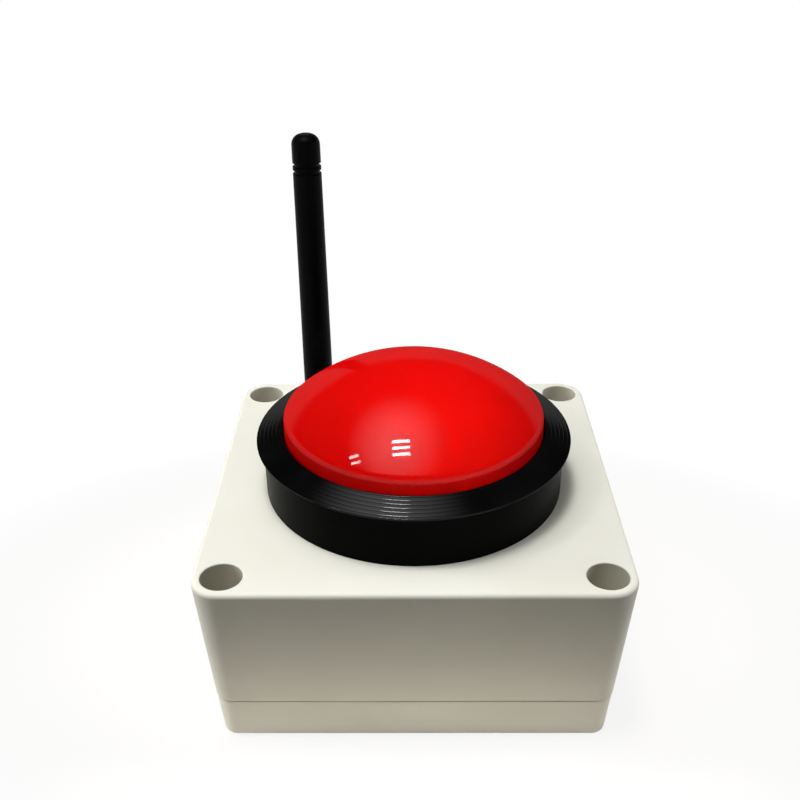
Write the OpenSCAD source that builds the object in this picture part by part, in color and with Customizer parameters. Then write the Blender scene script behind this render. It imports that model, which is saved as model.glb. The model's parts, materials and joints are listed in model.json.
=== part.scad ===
// A wireless quiz buzzer: a drafted plastic case with a large domed push button on
// its top and a folding stub antenna on its back wall. All sizes are in millimetres.
// The origin is the middle of the underside, +Z is up and the front faces -Y.

/* [Case] */
// Width of the case across its top, both ways
case_w = 129; // [122:0.5:145]
// Height of the closed case
case_h = 60; // [55:0.5:72]
// Height of the base cover, up to the parting line
base_h = 16.2; // [14:0.2:18]
// Lean of the side walls, in degrees
draft = 4; // [0:0.1:4.4]
// Thickness of the housing's side walls
wall_t = 3; // [2.4:0.1:3.4]
// Thickness of the top panel
panel_t = 3.2; // [2.6:0.1:4]
// Thickness of the base's floor
floor_t = 2.8; // [2.2:0.1:3.6]
// Radius of the upright corners at the top
corner_r = 8.9; // [8.5:0.1:11]
// Rounding of the top edges
edge_r = 1.5; // [0.6:0.1:2.2]
// Rounding of the bottom edges
foot_r = 1.8; // [0.6:0.1:2.4]
// Height of the slot that shades the parting line
seam_gap = 0.4; // [0.2:0.1:0.6]
// Rounding of the edges on both sides of that slot
seam_r = 0.3; // [0.1:0.1:0.4]
// Distance that the base is set in below the housing
base_step = 0.2; // [0.1:0.1:0.4]
// Thickness of the base's inner lip
lip_t = 1.8; // [1.2:0.1:2.4]
// Height of the base's inner lip above the parting line
lip_rise = 3; // [2:0.5:4]
// Width of the seal's groove
seal_w = 1.5; // [1.2:0.1:1.6]
// Depth of the seal's groove
seal_depth = 1.6; // [1.2:0.1:2]

/* [Case screws] */
// Diameter of a screw well at the top
well_d = 12.4; // [11.4:0.1:13]
// Diameter of a screw well at its floor
well_floor_d = 9.8; // [9:0.1:10.4]
// Thickness of a well's floor
well_floor_t = 5; // [3.5:0.5:8]
// Diameter of a case screw
screw_d = 4; // [3:0.1:4.4]
// Diameter of a case screw's head
screw_head_d = 7.6; // [6.6:0.1:8.4]
// Height of a case screw's head
screw_head_h = 2.6; // [2:0.1:3.4]
// Length of a case screw under its head
screw_len = 14; // [11:0.5:15]

/* [Button] */
// Distance of the button from the middle of the case, back to front
button_y = -3; // [-6:0.5:2]
// Diameter of the bezel's lip
bezel_d = 100; // [97:0.5:108]
// Diameter of the bezel's upright wall
bezel_wall_d = 96; // [93:0.5:97]
// Thickness of the bezel's walls
bezel_t = 2.2; // [1.8:0.1:2.4]
// Height of the lip's edge above the panel
lip_h = 18; // [16:0.5:19]
// Height of the bezel's crown above the panel
crown_h = 20.6; // [19.4:0.2:21.2]
// Height of the top of the bezel's floor above the panel
bezel_floor_h = 5.5; // [4.6:0.1:6.4]
// Diameter of the dome
dome_d = 82.4; // [78:0.2:84]
// Height of the dome's shoulder above the panel, at rest
shoulder_h = 25.4; // [24.8:0.2:28]
// Rise of the dome above its shoulder
dome_rise = 15.5; // [11:0.5:20]
// Thickness of the dome's shell
dome_t = 2.4; // [1.8:0.1:3]
// Depth of the dome's skirt below its shoulder
skirt_h = 13; // [12:0.2:14]
// Distance that the button travels
travel = 4; // [3:0.1:4.3]
// Diameter of the bezel's threaded stem
stem_d = 24; // [23.4:0.2:26]
// Bore of the stem
stem_bore = 18.4; // [17.6:0.2:19]
// Length of the stem below the bezel
stem_len = 14; // [13:0.5:18]
// Width of the stem nut across its flats
nut_w = 34; // [30:0.5:40]
// Height of the stem nut
nut_h = 5.5; // [4.5:0.5:6.5]
// Diameter of the spring's wire
spring_wire = 1.2; // [0.9:0.1:1.2]
// Turns of the return spring
spring_turns = 4.5; // [3:0.5:4.5]

/* [Lamp and switch] */
// Bore of the plunger's tube
tube_bore = 13; // [12.4:0.2:13.4]
// Diameter of the lamp
lamp_d = 9.2; // [8:0.2:10]
// Length of the lamp above its socket
lamp_len = 18; // [14:0.5:24]
// Length of the microswitch's case
switch_l = 27.8; // [27:0.1:29]
// Thickness of the microswitch's case
switch_t = 10.3; // [9.6:0.1:10.6]
// Height of the microswitch's case
switch_h = 15.9; // [15:0.1:17]
// Length of the lever from its pivot to the plunger's leg
lever_l = 20.7; // [19:0.1:22]
// Distance that the switch's pin travels
pin_travel = 1.2; // [1:0.05:1.4]

/* [Electronics] */
// Width of the circuit board
board_w = 60; // [56:0.5:70]
// Depth of the circuit board
board_d = 36; // [34:0.5:37]
// Thickness of the circuit board
board_t = 1.6; // [1:0.1:2]
// Height of the board's posts above the floor
post_h = 6; // [4:0.5:8]
// Length of the battery
battery_l = 48.5; // [46:0.5:52]
// Width of the battery
battery_w = 26.5; // [24:0.5:28]
// Height of the battery
battery_h = 17.5; // [15:0.5:20]
// Diameter of a connecting wire
wire_d = 1.5; // [1.2:0.1:1.8]

/* [Antenna] */
// Distance of the antenna from the middle, left to right
antenna_x = -38; // [-40:0.5:-30]
// Height of the antenna's jack above the underside
antenna_z = 38; // [34:0.5:40]
// Distance from the back wall to the fold's pin
fold_reach = 19.8; // [18.4:0.2:24]
// Length of the stub from the fold's pin to its tip
stub_len = 112; // [90:1:130]
// Diameter of the stub at its foot
stub_d = 11.6; // [11:0.1:12.4]
// Diameter of the stub at its tip
tip_d = 10.2; // [9:0.1:11]
// Diameter of the knuckle
knuckle_d = 10.6; // [9.6:0.1:11]
// Diameter of the fold's pin
pin_d = 2.5; // [2:0.1:3]

/* [Hidden] */
$fn = 64;

// Clearances
fit = 0.1;
slide_gap = 0.3;
dome_gap = 0.5;
cut = 1;
hex_sides = 6;
function across_corners(w) = w / cos(180 / hex_sides);

// Case: the corners, the screw wells and the corner posts share one axis
slope = tan(draft);
corner_c = case_w / 2 - corner_r;
post_skin = 0.4;
inner_r = 1;
lip_gap = 0.35;
seam_in = 0.6;
seal_edge = 1.2;
seal_turn = 3.6;
well_floor_z = base_h + well_floor_t;
head_taper = 0.8;
recess_share = [0.55, 0.25, 0.6];
function corner_rad(z) = corner_r - slope * (case_h - z);
function half_w(z) = corner_c + corner_rad(z);
rim_half = half_w(base_h) - wall_t;
rim_post_r = corner_rad(base_h) - post_skin;
pocket_gap = lip_gap + lip_t;
pocket_half = rim_half - pocket_gap;

// Button, with heights measured from the top of the panel
guide_r = dome_d / 2 + dome_gap;
skirt_z = shoulder_h - skirt_h;
disc_t = 2.2;
ledge_w = 1.2;
dome_sphere_r = (pow(dome_d / 2, 2) + pow(dome_rise, 2)) / (2 * dome_rise);
dome_centre_z = shoulder_h + dome_rise - dome_sphere_r;
bezel_floor_t = 2.5;
hub_t = 1.2;
collar_t = 1.4;
spring_room = 0.4;
spring_rings = 8;
pocket_in = stem_bore / 2 + collar_t;
spring_r = (pocket_in + spring_room + spring_wire / 2) / cos(180 / spring_rings);
pocket_out = spring_r + spring_wire / 2 + spring_room;
hub_r = pocket_out + bezel_t;
stop_share = 0.75;
stop_r = guide_r * stop_share;
stop_w = 3;
lip_edge = 0.5;
lip_under = 1.6;
crown_round = 0.6;
crown_turn = 70;
rib_count = 12;
rib_t = 1.8;
tube_r = stem_bore / 2 - slide_gap;
hook_gap = 0.2;
hook_h = 2.4;
hook_w = 6;
hook_out = 1.6;
hook_slot = 1;
hook_slot_h = 9;
window_count = 6;
nut_flange_h = 1.8;
nut_flange_w = 1;
spring_sides = 6;

// Lamp holder and microswitch, below the stem
holder_t = 2.4;
holder_r = stem_d / 2 + fit + holder_t;
holder_gap = 1;
cup_z = -(stem_len + hook_gap + hook_h + travel + holder_gap);
cup_bottom = cup_z - holder_t;
grip_top = -(panel_t + nut_h + holder_gap);
leg_w = 4;
leg_t = 1.7;
leg_x = (tube_bore / 2 + tube_r) / 2;
leg_round = leg_t / 2;
leg_play = 0.25;
leg_room = 0.6;
leg_under = 0.6;
lever_t = 0.6;
lever_w = 4.4;
lever_over = 2;
leg_end = cup_bottom - leg_under;
pivot_z = leg_end - travel - leg_play - lever_t / 2;
pivot_x = leg_x - lever_l;
pivot_d = 1.4;
pivot_in = 1.6;
ear_d = 3;
ear_t = 1.2;
ear_gap = 0.2;
pivot_rise = ear_d / 2 + ear_gap;
switch_top = pivot_z - pivot_rise;
switch_x0 = pivot_x - pivot_in;
switch_hole_d = 3.1;
switch_hole_in = 2.8;
lever_drop = travel + lever_t / 2 + leg_round + leg_play;
lever_near = lever_t / 2 + leg_round + leg_play;
lever_angle = acos(lever_near / norm([lever_drop, lever_l])) - atan(lever_l / lever_drop);
pin_reach = lever_l * pin_travel / travel;
switch_pin_d = 3;
switch_pin_depth = 5;
pin_play = 0.2;
pin_low_z = pivot_z - lever_t / 2 - pin_play;
bracket_t = 2;
plate_back = switch_t / 2 + fit + bracket_t;
plate_in = 0.6;
plate_up = 1;
peg_out = 1;
socket_wall = 1;
socket_r = lamp_d / 2 + socket_wall;
socket_h = 9;
wedge_w = 7;
wedge_t = 2.4;
wedge_h = 6;
lamp_tab = [2.4, 0.8, 5];
lamp_tab_x = 2.5;
lamp_tab_out = 2.6;
lamp_tab_y = switch_t / 2 + bracket_t + lamp_tab_out;
switch_tab = [7, 0.6, 4.8];
switch_tab_down = [3.9, 11.9];
switch_tab_in = 0.9;

// Electronics, on the base's floor
board_gap = 4;
board_y = pocket_half - board_gap - board_d / 2;
board_z = floor_t + post_h;
board_top = board_z + board_t;
board_post_r = 3;
board_screw_d = 2.4;
board_screw_head_d = 4.6;
board_screw_head_h = 1.6;
board_screw_len = 6;
board_post_in = 3.4;
ways = 6;
way_pitch = 3.5;
block_side = 0.5;
block_in = 0.4;
block_size = [ways * way_pitch + 2 * block_side, 7.6, 8.6];
block_y = board_y - board_d / 2 + block_in;
block_hole_d = 2.1;
block_hole_up = 3.4;
block_hole_z = board_top + block_hole_up;
block_hole_depth = 4.5;
block_well_r = 1.3;
block_well_depth = 1.6;
block_well_back = 1.4;
parts_back = 6;
module_size = [17, 20, 1];
module_can = [13, 12, 2.4];
module_in = 17;
module_at = [module_in - board_w / 2, board_y + parts_back];
module_can_front = 2;
plug_r = 1.6;
plug_h = 2;
plug_off = [-3, 7.4];
chip_size = [10, 4, 1.6];
chip_legs = 8;
chip_x = 4;
chip_leg = [0.5, 1.2, 0.8];
can_r = 3.2;
can_h = 8;
can_x = 20;
can_back = [10, 1];
rib_w = 1.6;
rib_h = 11;
rib_share = 0.6;
battery_gap = 0.3;
pad_t = 1;
pad_share = 0.7;
battery_x = -4;
battery_in = 2;
battery_y = -pocket_half + battery_in + rib_w + battery_gap + battery_w / 2;
battery_z = floor_t + pad_t;
battery_end = battery_x + battery_l / 2;
battery_mid_z = battery_z + battery_h / 2;
stud_pitch = 12.7;
stud_d = [5.6, 7.4];
stud_h = 2.6;
snap_t = 4.4;
snap_size = [26, 12.4];
snap_end = battery_end + snap_t;
snap_wire = 2.4;

// Antenna, measured outwards from a flat faced on the leaning back wall
flat_r = 7;
flat_y = half_w(antenna_z - flat_r);
flange_r = 4.6;
flange_t = 2;
seat_room = 0.8;
seat_r = flange_r + seat_room;
seat_y = half_w(antenna_z + seat_r) - wall_t;
jack_r = 3.15;
jack_body_r = 2.6;
jack_body_l = 6;
jack_out = 8.8;
washer_t = 0.6;
washer_r = 5.4;
jack_nut_t = 2.2;
jack_nut_w = 8;
coupling_y = washer_t + jack_nut_t + slide_gap;
coupling_l = 8.6;
coupling_end_t = 1.2;
coupling_w = 8.6;
coupling_collar_r = 3.9;
coupling_hex_l = 5.6;
coupling_hole_r = 2.7;
neck_r = 2.4;
head_r = 2.85;
head_y = jack_out + slide_gap;
head_t = 0.9;
barrel_y = coupling_y + coupling_l + slide_gap;
knuckle_r = knuckle_d / 2;
fork_step = 0.3;
fork_r = knuckle_r - fork_step;
tongue_w = 4.4;
fork_slot = tongue_w + 2 * slide_gap;
tongue_step = 0.6;
tongue_r = fork_r - tongue_step;
slot_room = 0.7;
slot_y = fold_reach - tongue_r - slot_room;
pin_in = 0.2;
fold_y = flat_y + fold_reach;
foot_gap = 1;
foot_z = knuckle_r + foot_gap;
foot_t = 2.2;
spigot_r = 3.4;
spigot_l = 12;
radiator_r = 1.4;
tip_round = 3.6;
notch_w = 1.3;
notch_depth = 0.7;
notch_down = [10, 12.5];
foot_top = foot_z + foot_t;
notch_end = stub_len - notch_down[1] - notch_w;

// Routes of the wires and of the antenna's lead, each from its terminal to its socket
switch_tip_x = switch_x0 + switch_l + switch_tab[0];
block_mouth = [0, block_y, block_hole_z];
lead_room = block_y - button_y - plate_back;
wire_in = 2;
wire_steps = 4;
wire_sides = 8;
wire_up = [0, 0.6, 0.8];
function way_x(i) = (i - (ways - 1) / 2) * way_pitch;
function way_at(i) = block_mouth + [way_x(i), 0, 0];
function way_end(i) = [way_at(i) - [0, 2.2, 0], way_at(i) - [0, 0.9, 0], way_at(i) + [0, wire_in, 0]];
function way_turn(i, back) = concat(
    [way_at(i) + [4, -back, 0], way_at(i) + [0.8, 1.2 - back, 0]],
    way_end(i)
);
function switch_tab_at(i) = [switch_tip_x, button_y, case_h + switch_top - switch_tab_down[i]];
function switch_route(i) = let(s = switch_tab_at(i)) concat([
    s,
    s + [2, 0, 0],
    s + [5.5, 2.5, 0],
    [s[0] + 4.5 - 2 * i, s[1] + plate_back + (0.23 - 0.14 * i) * lead_room, (s[2] + block_hole_z) / 2]
], way_turn(3 - i, (0.69 + 0.18 * i) * lead_room));
function lamp_tab_at(i) = [
    (2 * i - 1) * lamp_tab_x,
    button_y + lamp_tab_y,
    case_h + cup_bottom - lamp_tab[2]
];
function lamp_route(i) = let(s = lamp_tab_at(i)) concat([
    s,
    s - [0, 0, 2],
    [(s[0] + way_x(i)) / 2, s[1] + 1, (s[2] + block_hole_z) / 2 + 1],
    way_at(i) + [0, -5, 2.4]
], way_end(i));
function snap_wire_at(i) = [snap_end, battery_y + (2 * i - 1) * snap_wire, battery_mid_z];
function battery_route(i) = let(s = snap_wire_at(i)) concat([
    s,
    s + [2, 0, 0],
    s + [9 - 3 * i, 5, 0],
    [s[0] + 10 - 3 * i, (s[1] + block_y) / 2, battery_mid_z],
    [s[0] + 8.4 - 3.5 * i, block_y - (0.58 + 0.14 * i) * lead_room, block_hole_z]
], way_turn(5 - i, (0.35 + 0.16 * i) * lead_room));
module_plug = [module_at[0] + plug_off[0], module_at[1] + plug_off[1], board_top + module_size[2]];
jack_tail = [antenna_x, seat_y - flange_t - jack_body_l, antenna_z];
pigtail_d = 2.4;
pigtail_route = [
    jack_tail,
    jack_tail - [0, 3, 0],
    jack_tail + [1.5, -6, -2],
    [(jack_tail[0] + module_plug[0]) / 2, module_plug[1] - 2, (jack_tail[2] + module_plug[2]) / 2],
    module_plug + [-2, -0.4, plug_h + 7],
    module_plug + [0, 0, plug_h + 3],
    module_plug + [0, 0, plug_h]
];

// Arc of points about a centre, from one angle to another
function arc(c, r, a0, a1, n = 6) = [
    for (i = [0:n]) c + r * [cos(a0 + (a1 - a0) * i / n), sin(a0 + (a1 - a0) * i / n)]
];

// Side outline of a leaning block, out from the axis of its corner
function low_edge(inset, z, e) = arc(
    [corner_rad(z + e) - inset - e / cos(draft), z + e], e, -90, -draft
);
function high_edge(inset, z, e) = arc(
    [corner_rad(z - e) - inset - e / cos(draft), z - e], e, -draft, 90
);
function plain_edge(inset, z) = [[corner_rad(z) - inset, z]];
function block_outline(inset, z0, z1, e0, e1) = concat(
    [[0, z0]],
    e0 > 0 ? low_edge(inset, z0, e0) : plain_edge(inset, z0),
    e1 > 0 ? high_edge(inset, z1, e1) : plain_edge(inset, z1),
    [[0, z1]]
);

// Square block with leaning sides, round corners and rounded edges
module leaning_block(inset, z0, z1, e0, e1) {
    points = block_outline(inset, z0, z1, e0, e1);
    for (a = [0:90:270]) rotate(a) translate([corner_c, corner_c, 0]) {
        rotate([90, 0, 0]) linear_extrude(2 * corner_c) polygon(points);
        rotate_extrude(angle = 90) polygon(points);
    }
    translate([-corner_c, -corner_c, z0]) cube([2 * corner_c, 2 * corner_c, z1 - z0]);
}

module at_corners() {
    for (a = [0:90:270]) rotate(a) translate([corner_c, corner_c, 0]) children();
}

module at_button() {
    translate([0, button_y, case_h]) children();
}

module at_jack() {
    translate([antenna_x, flat_y, antenna_z]) children();
}

module at_fold() {
    translate([antenna_x, fold_y, antenna_z]) children();
}

// Cylinder that lies along Y from y0, and one that lies along X about its middle
module rod_y(r, y0, l) {
    translate([0, y0, 0]) rotate([-90, 0, 0]) cylinder(r = r, h = l);
}

module rod_x(r, l) {
    rotate([0, 90, 0]) cylinder(r = r, h = l, center = true);
}

module ring(r_out, r_in, z0, h) {
    translate([0, 0, z0]) difference() {
        cylinder(r = r_out, h = h);
        translate([0, 0, -cut]) cylinder(r = r_in, h = h + 2 * cut);
    }
}

module box_on(size, z) {
    translate([-size[0] / 2, -size[1] / 2, z]) cube(size);
}

// Smooth curve through points, and a round tube swept along it
function curve_at(p, i, t) = let(
        a = p[max(i - 1, 0)],
        b = p[i],
        c = p[i + 1],
        d = p[min(i + 2, len(p) - 1)]
    )
    (2 * b + (c - a) * t + (2 * a - 5 * b + 4 * c - d) * t * t + (3 * b - a - 3 * c + d) * t * t * t) / 2;
function curve(p, n) = concat(
    [for (i = [0:len(p) - 2], k = [0:n - 1]) curve_at(p, i, k / n)],
    [p[len(p) - 1]]
);
function unit(v) = v / norm(v);
function headings(p, first, last) = [
    for (i = [0:len(p) - 1]) i == 0 ? first : i == len(p) - 1 ? last : unit(p[i + 1] - p[i - 1])
];
function carry(t, i, u) = i == len(t) ? [] :
    let(n = unit(u - (u * t[i]) * t[i])) concat([n], carry(t, i + 1, n));
module tube(p, d, sides, start, ends) {
    t = headings(p, ends[0], ends[1]);
    u = carry(t, 0, start);
    last = (len(p) - 1) * sides;
    points = [
        for (i = [0:len(p) - 1], k = [0:sides - 1])
            let(a = 360 * k / sides) p[i] + d / 2 * (cos(a) * u[i] + sin(a) * cross(t[i], u[i]))
    ];
    walls = [
        for (i = [0:len(p) - 2], k = [0:sides - 1])
            let(a = i * sides + k, b = i * sides + (k + 1) % sides)
                each [[a, a + sides, b], [b, a + sides, b + sides]]
    ];
    caps = [
        for (k = [1:sides - 2]) each [[0, k, k + 1], [last, last + k + 1, last + k]]
    ];
    polyhedron(points, concat(walls, caps));
}

function route_ends(p) = [unit(p[1] - p[0]), unit(p[len(p) - 1] - p[len(p) - 2])];

module wire(route) {
    tube(curve(route, wire_steps), wire_d, wire_sides, wire_up, route_ends(route));
}

// Outline of the room inside the rim, set in by a gap, with a bay round each corner post
module rim_outline(gap) {
    difference() {
        square(2 * (rim_half - gap), center = true);
        for (a = [0:90:270]) rotate(a) translate([corner_c, corner_c]) circle(r = rim_post_r + gap);
    }
}

// Outline of the seal's path, which passes inside the screws
module seal_outline(inset) {
    bay = seal_turn + inset;
    half = half_w(base_h) - base_step - seal_edge - inset;
    difference() {
        square(2 * half, center = true);
        for (a = [0:90:270]) rotate(a) translate([corner_c, corner_c]) {
            circle(r = bay);
            translate([-bay, 0]) square([bay + corner_r, corner_r]);
            translate([0, -bay]) square([corner_r, bay + corner_r]);
        }
    }
}

module seal_ring(side) {
    difference() {
        seal_outline(side);
        seal_outline(seal_w - side);
    }
}

module upper_housing() {
    well_slope = (well_d - well_floor_d) / 2 / (case_h - well_floor_z);
    color("gainsboro") difference() {
        union() {
            difference() {
                leaning_block(0, base_h, case_h, seam_r, edge_r);
                leaning_block(wall_t, base_h - cut, case_h - panel_t, 0, inner_r);
            }
            at_corners() translate([0, 0, base_h]) cylinder(
                r1 = rim_post_r,
                r2 = corner_rad(case_h - panel_t / 2) - post_skin,
                h = case_h - panel_t / 2 - base_h
            );
        }
        at_corners() {
            translate([0, 0, well_floor_z]) cylinder(
                d1 = well_floor_d,
                r2 = well_d / 2 + well_slope * cut,
                h = case_h - well_floor_z + cut
            );
            translate([0, 0, base_h - cut])
                cylinder(d = screw_d + 2 * slide_gap, h = well_floor_t + 2 * cut);
        }
        at_button() translate([0, 0, -panel_t - cut])
            cylinder(d = stem_d + 2 * slide_gap, h = panel_t + 2 * cut);
        at_jack() {
            rod_y(flat_r, 0, wall_t);
            rod_y(jack_r + fit, -2 * wall_t, 2 * wall_t + cut);
        }
        translate([antenna_x, seat_y - wall_t, antenna_z]) rod_y(seat_r, 0, wall_t);
    }
}

module board_posts() {
    for (x = [-1, 1], y = [-1, 1])
        translate([x * (board_w / 2 - board_post_in), board_y + y * (board_d / 2 - board_post_in), 0])
            children();
}

module battery_ribs() {
    rib_l = battery_l * rib_share;
    for (y = [-1, 1])
        translate([battery_x, battery_y + y * (battery_w / 2 + battery_gap + rib_w / 2), 0])
            box_on([rib_l, rib_w, rib_h + cut], floor_t - cut);
    translate([battery_x - battery_l / 2 - battery_gap - rib_w / 2, battery_y, 0])
        box_on([rib_w, battery_w * rib_share, rib_h + cut], floor_t - cut);
}

module base_cover() {
    color("lightgray") difference() {
        union() {
            difference() {
                union() {
                    leaning_block(base_step, 0, base_h - seam_gap, foot_r, seam_r);
                    leaning_block(base_step + seam_in, floor_t, base_h, 0, 0);
                    translate([0, 0, base_h - cut]) linear_extrude(lip_rise + cut) rim_outline(lip_gap);
                }
                translate([0, 0, floor_t]) linear_extrude(base_h + lip_rise) rim_outline(pocket_gap);
            }
            board_posts() translate([0, 0, floor_t - cut]) cylinder(r = board_post_r, h = post_h + cut);
            battery_ribs();
        }
        translate([0, 0, base_h - seal_depth]) linear_extrude(seal_depth + cut) seal_ring(0);
        at_corners() translate([0, 0, well_floor_z - screw_len - cut])
            cylinder(d = screw_d + fit, h = screw_len + 2 * cut);
        board_posts() translate([0, 0, board_top - board_screw_len - cut])
            cylinder(d = board_screw_d + fit, h = board_screw_len + 2 * cut);
    }
}

module housing_seal() {
    color("dimgray") translate([0, 0, base_h - seal_depth]) linear_extrude(seal_depth) seal_ring(fit);
}

module cross_recess(w, t, depth) {
    translate([0, 0, -depth]) {
        box_on([w, t, depth + cut], 0);
        box_on([t, w, depth + cut], 0);
    }
}

module housing_screws() {
    head_top = well_floor_z + screw_head_h;
    color("silver") at_corners() difference() {
        union() {
            translate([0, 0, well_floor_z])
                cylinder(d1 = screw_head_d, d2 = screw_head_d * head_taper, h = screw_head_h);
            translate([0, 0, well_floor_z - screw_len]) cylinder(d = screw_d, h = screw_len + cut);
        }
        translate([0, 0, head_top]) cross_recess(
            screw_head_d * recess_share[0], screw_d * recess_share[1], screw_head_h * recess_share[2]
        );
    }
}

module button_bezel() {
    wall_r = bezel_wall_d / 2;
    floor_lo = bezel_floor_h - bezel_floor_t;
    groove_top = lip_h - lip_under - bezel_t;
    stop_top = skirt_z - travel - slide_gap;
    color("black") at_button() {
        rotate_extrude() polygon(concat(
            [
                [stem_bore / 2, -stem_len],
                [stem_d / 2, -stem_len],
                [stem_d / 2, 0],
                [hub_r, 0],
                [hub_r, floor_lo],
                [guide_r + bezel_t, floor_lo],
                [guide_r + bezel_t, groove_top],
                [wall_r - bezel_t, groove_top],
                [wall_r - bezel_t, 0],
                [wall_r, 0],
                [wall_r, lip_h - lip_edge - lip_under],
                [bezel_d / 2, lip_h - lip_edge],
                [bezel_d / 2, lip_h]
            ],
            arc([guide_r + crown_round, crown_h - crown_round], crown_round, crown_turn, 180),
            [
                [guide_r, bezel_floor_h],
                [stop_r + stop_w, bezel_floor_h],
                [stop_r + stop_w, stop_top],
                [stop_r, stop_top],
                [stop_r, bezel_floor_h],
                [pocket_out, bezel_floor_h],
                [pocket_out, hub_t],
                [pocket_in, hub_t],
                [pocket_in, bezel_floor_h],
                [stem_bore / 2, bezel_floor_h]
            ]
        ));
        for (i = [0:rib_count - 1]) rotate(360 * i / rib_count)
            translate([hub_r - bezel_t / 2, -rib_t / 2, 0])
                cube([wall_r - hub_r, rib_t, floor_lo + bezel_floor_t / 2]);
    }
}

module stem_nut() {
    nut_d = across_corners(nut_w);
    color("black") at_button() difference() {
        union() {
            translate([0, 0, -panel_t - nut_h]) cylinder(d = nut_d, h = nut_h, $fn = hex_sides);
            translate([0, 0, -panel_t - nut_flange_h])
                cylinder(r = nut_d / 2 + nut_flange_w, h = nut_flange_h);
        }
        translate([0, 0, -panel_t - nut_h - cut]) cylinder(d = stem_d + fit, h = nut_h + 2 * cut);
    }
}

module dome_cap() {
    inside_r = dome_d / 2 - dome_t;
    ledge_z = skirt_z + disc_t;
    color("red") at_button() difference() {
        intersection() {
            translate([0, 0, dome_centre_z]) sphere(r = dome_sphere_r);
            translate([0, 0, skirt_z]) cylinder(d = dome_d, h = skirt_h + dome_rise + cut);
        }
        intersection() {
            translate([0, 0, dome_centre_z]) sphere(r = dome_sphere_r - dome_t);
            translate([0, 0, ledge_z - cut]) cylinder(r = inside_r - ledge_w, h = skirt_h + dome_rise);
        }
        translate([0, 0, skirt_z - cut]) cylinder(r = inside_r, h = disc_t + cut);
    }
}

module plunger() {
    disc_r = dome_d / 2 - dome_t - fit;
    tube_end = -(stem_len + hook_gap + hook_h);
    hook_r = stem_bore / 2 + hook_out;
    window_at = (stop_r + hub_r) / 2;
    window_r = (stop_r - hub_r) / 3;
    color("whitesmoke") at_button() {
        difference() {
            union() {
                translate([0, 0, skirt_z]) cylinder(r = disc_r, h = disc_t);
                translate([0, 0, tube_end]) cylinder(r = tube_r, h = skirt_z - tube_end + disc_t);
                intersection() {
                    translate([0, 0, tube_end]) cylinder(r1 = tube_r, r2 = hook_r, h = hook_h);
                    box_on([hook_w, 2 * hook_r, hook_h], tube_end);
                }
            }
            translate([0, 0, tube_end - cut])
                cylinder(d = tube_bore, h = skirt_z + disc_t - tube_end + 2 * cut);
            for (x = [-1, 1]) translate([x * (hook_w + hook_slot) / 2, 0, 0])
                box_on([hook_slot, 2 * hook_r + cut, hook_slot_h + cut], tube_end - cut);
            for (i = [1:window_count]) rotate(360 * (i - 0.5) / window_count)
                translate([window_at, 0, skirt_z - cut]) cylinder(r = window_r, h = disc_t + 2 * cut);
        }
        translate([leg_x, 0, 0]) {
            box_on([leg_t, leg_w, tube_end - leg_end - leg_round + cut], leg_end + leg_round);
            translate([0, 0, leg_end + leg_round]) rotate([90, 0, 0])
                cylinder(r = leg_round, h = leg_w, center = true);
        }
    }
}

// Points along the return spring, from its seat up to the plunger
function spring_points() = let(
        z0 = hub_t + spring_wire / 2 + fit / 2,
        z1 = skirt_z - spring_wire / 2 - fit / 2,
        n = spring_turns * spring_rings
    )
    [
        for (i = [0:n])
            let(a = 360 * i / spring_rings) [spring_r * cos(a), spring_r * sin(a), z0 + (z1 - z0) * i / n]
    ];
spring_path = spring_points();
spring_apart = spring_rings - 2;
spring_gap = min([
    for (i = [0:len(spring_path) - 1 - spring_apart], j = [i + spring_apart:len(spring_path) - 1])
        norm(spring_path[i] - spring_path[j]) - spring_wire
]);
echo(spring_gap = spring_gap);

module return_spring() {
    color("silver") at_button()
        tube(spring_path, spring_wire, spring_sides, [1, 0, 0], route_ends(spring_path));
}

module lamp_holder() {
    hole_z = [switch_top - switch_hole_in, switch_top - switch_h + switch_hole_in];
    hole_x = [switch_x0 + switch_l - switch_hole_in, switch_x0 + switch_hole_in];
    plate_z = switch_top - switch_h + plate_up;
    color("ghostwhite") at_button() {
        difference() {
            union() {
                ring(holder_r, stem_d / 2 + fit, cup_z, grip_top - cup_z);
                translate([0, 0, cup_bottom]) cylinder(r = holder_r, h = holder_t);
                translate([0, 0, cup_z - holder_t / 2]) cylinder(r = socket_r, h = socket_h + holder_t / 2);
            }
            translate([leg_x, 0, 0])
                box_on([leg_t + 2 * leg_room, leg_w + 2 * leg_room, holder_t + 2 * cut], cup_bottom - cut);
            translate([0, 0, cup_z + socket_h - wedge_h - fit])
                box_on([wedge_w + 2 * fit, wedge_t + 2 * fit, wedge_h + fit + cut], 0);
            for (i = [-1, 1]) translate([i * lamp_tab_x, lamp_tab_y, 0])
                box_on([lamp_tab[0] + 2 * fit, lamp_tab[1] + 2 * fit, holder_t + 2 * cut], cup_bottom - cut);
        }
        translate([switch_x0 + plate_in, switch_t / 2 + fit, plate_z])
            cube([switch_l - 2 * plate_in, bracket_t, cup_bottom - plate_z + holder_t / 2]);
        for (i = [0, 1]) translate([hole_x[i], 0, hole_z[i]])
            rod_y(switch_hole_d / 2 - fit, -switch_t / 2 - peg_out, switch_t + peg_out + bracket_t);
    }
}

module lamp_contacts() {
    color("goldenrod") at_button() for (i = [-1, 1]) translate([i * lamp_tab_x, lamp_tab_y, 0])
        box_on([lamp_tab[0], lamp_tab[1], lamp_tab[2] + holder_t], cup_bottom - lamp_tab[2]);
}

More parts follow.
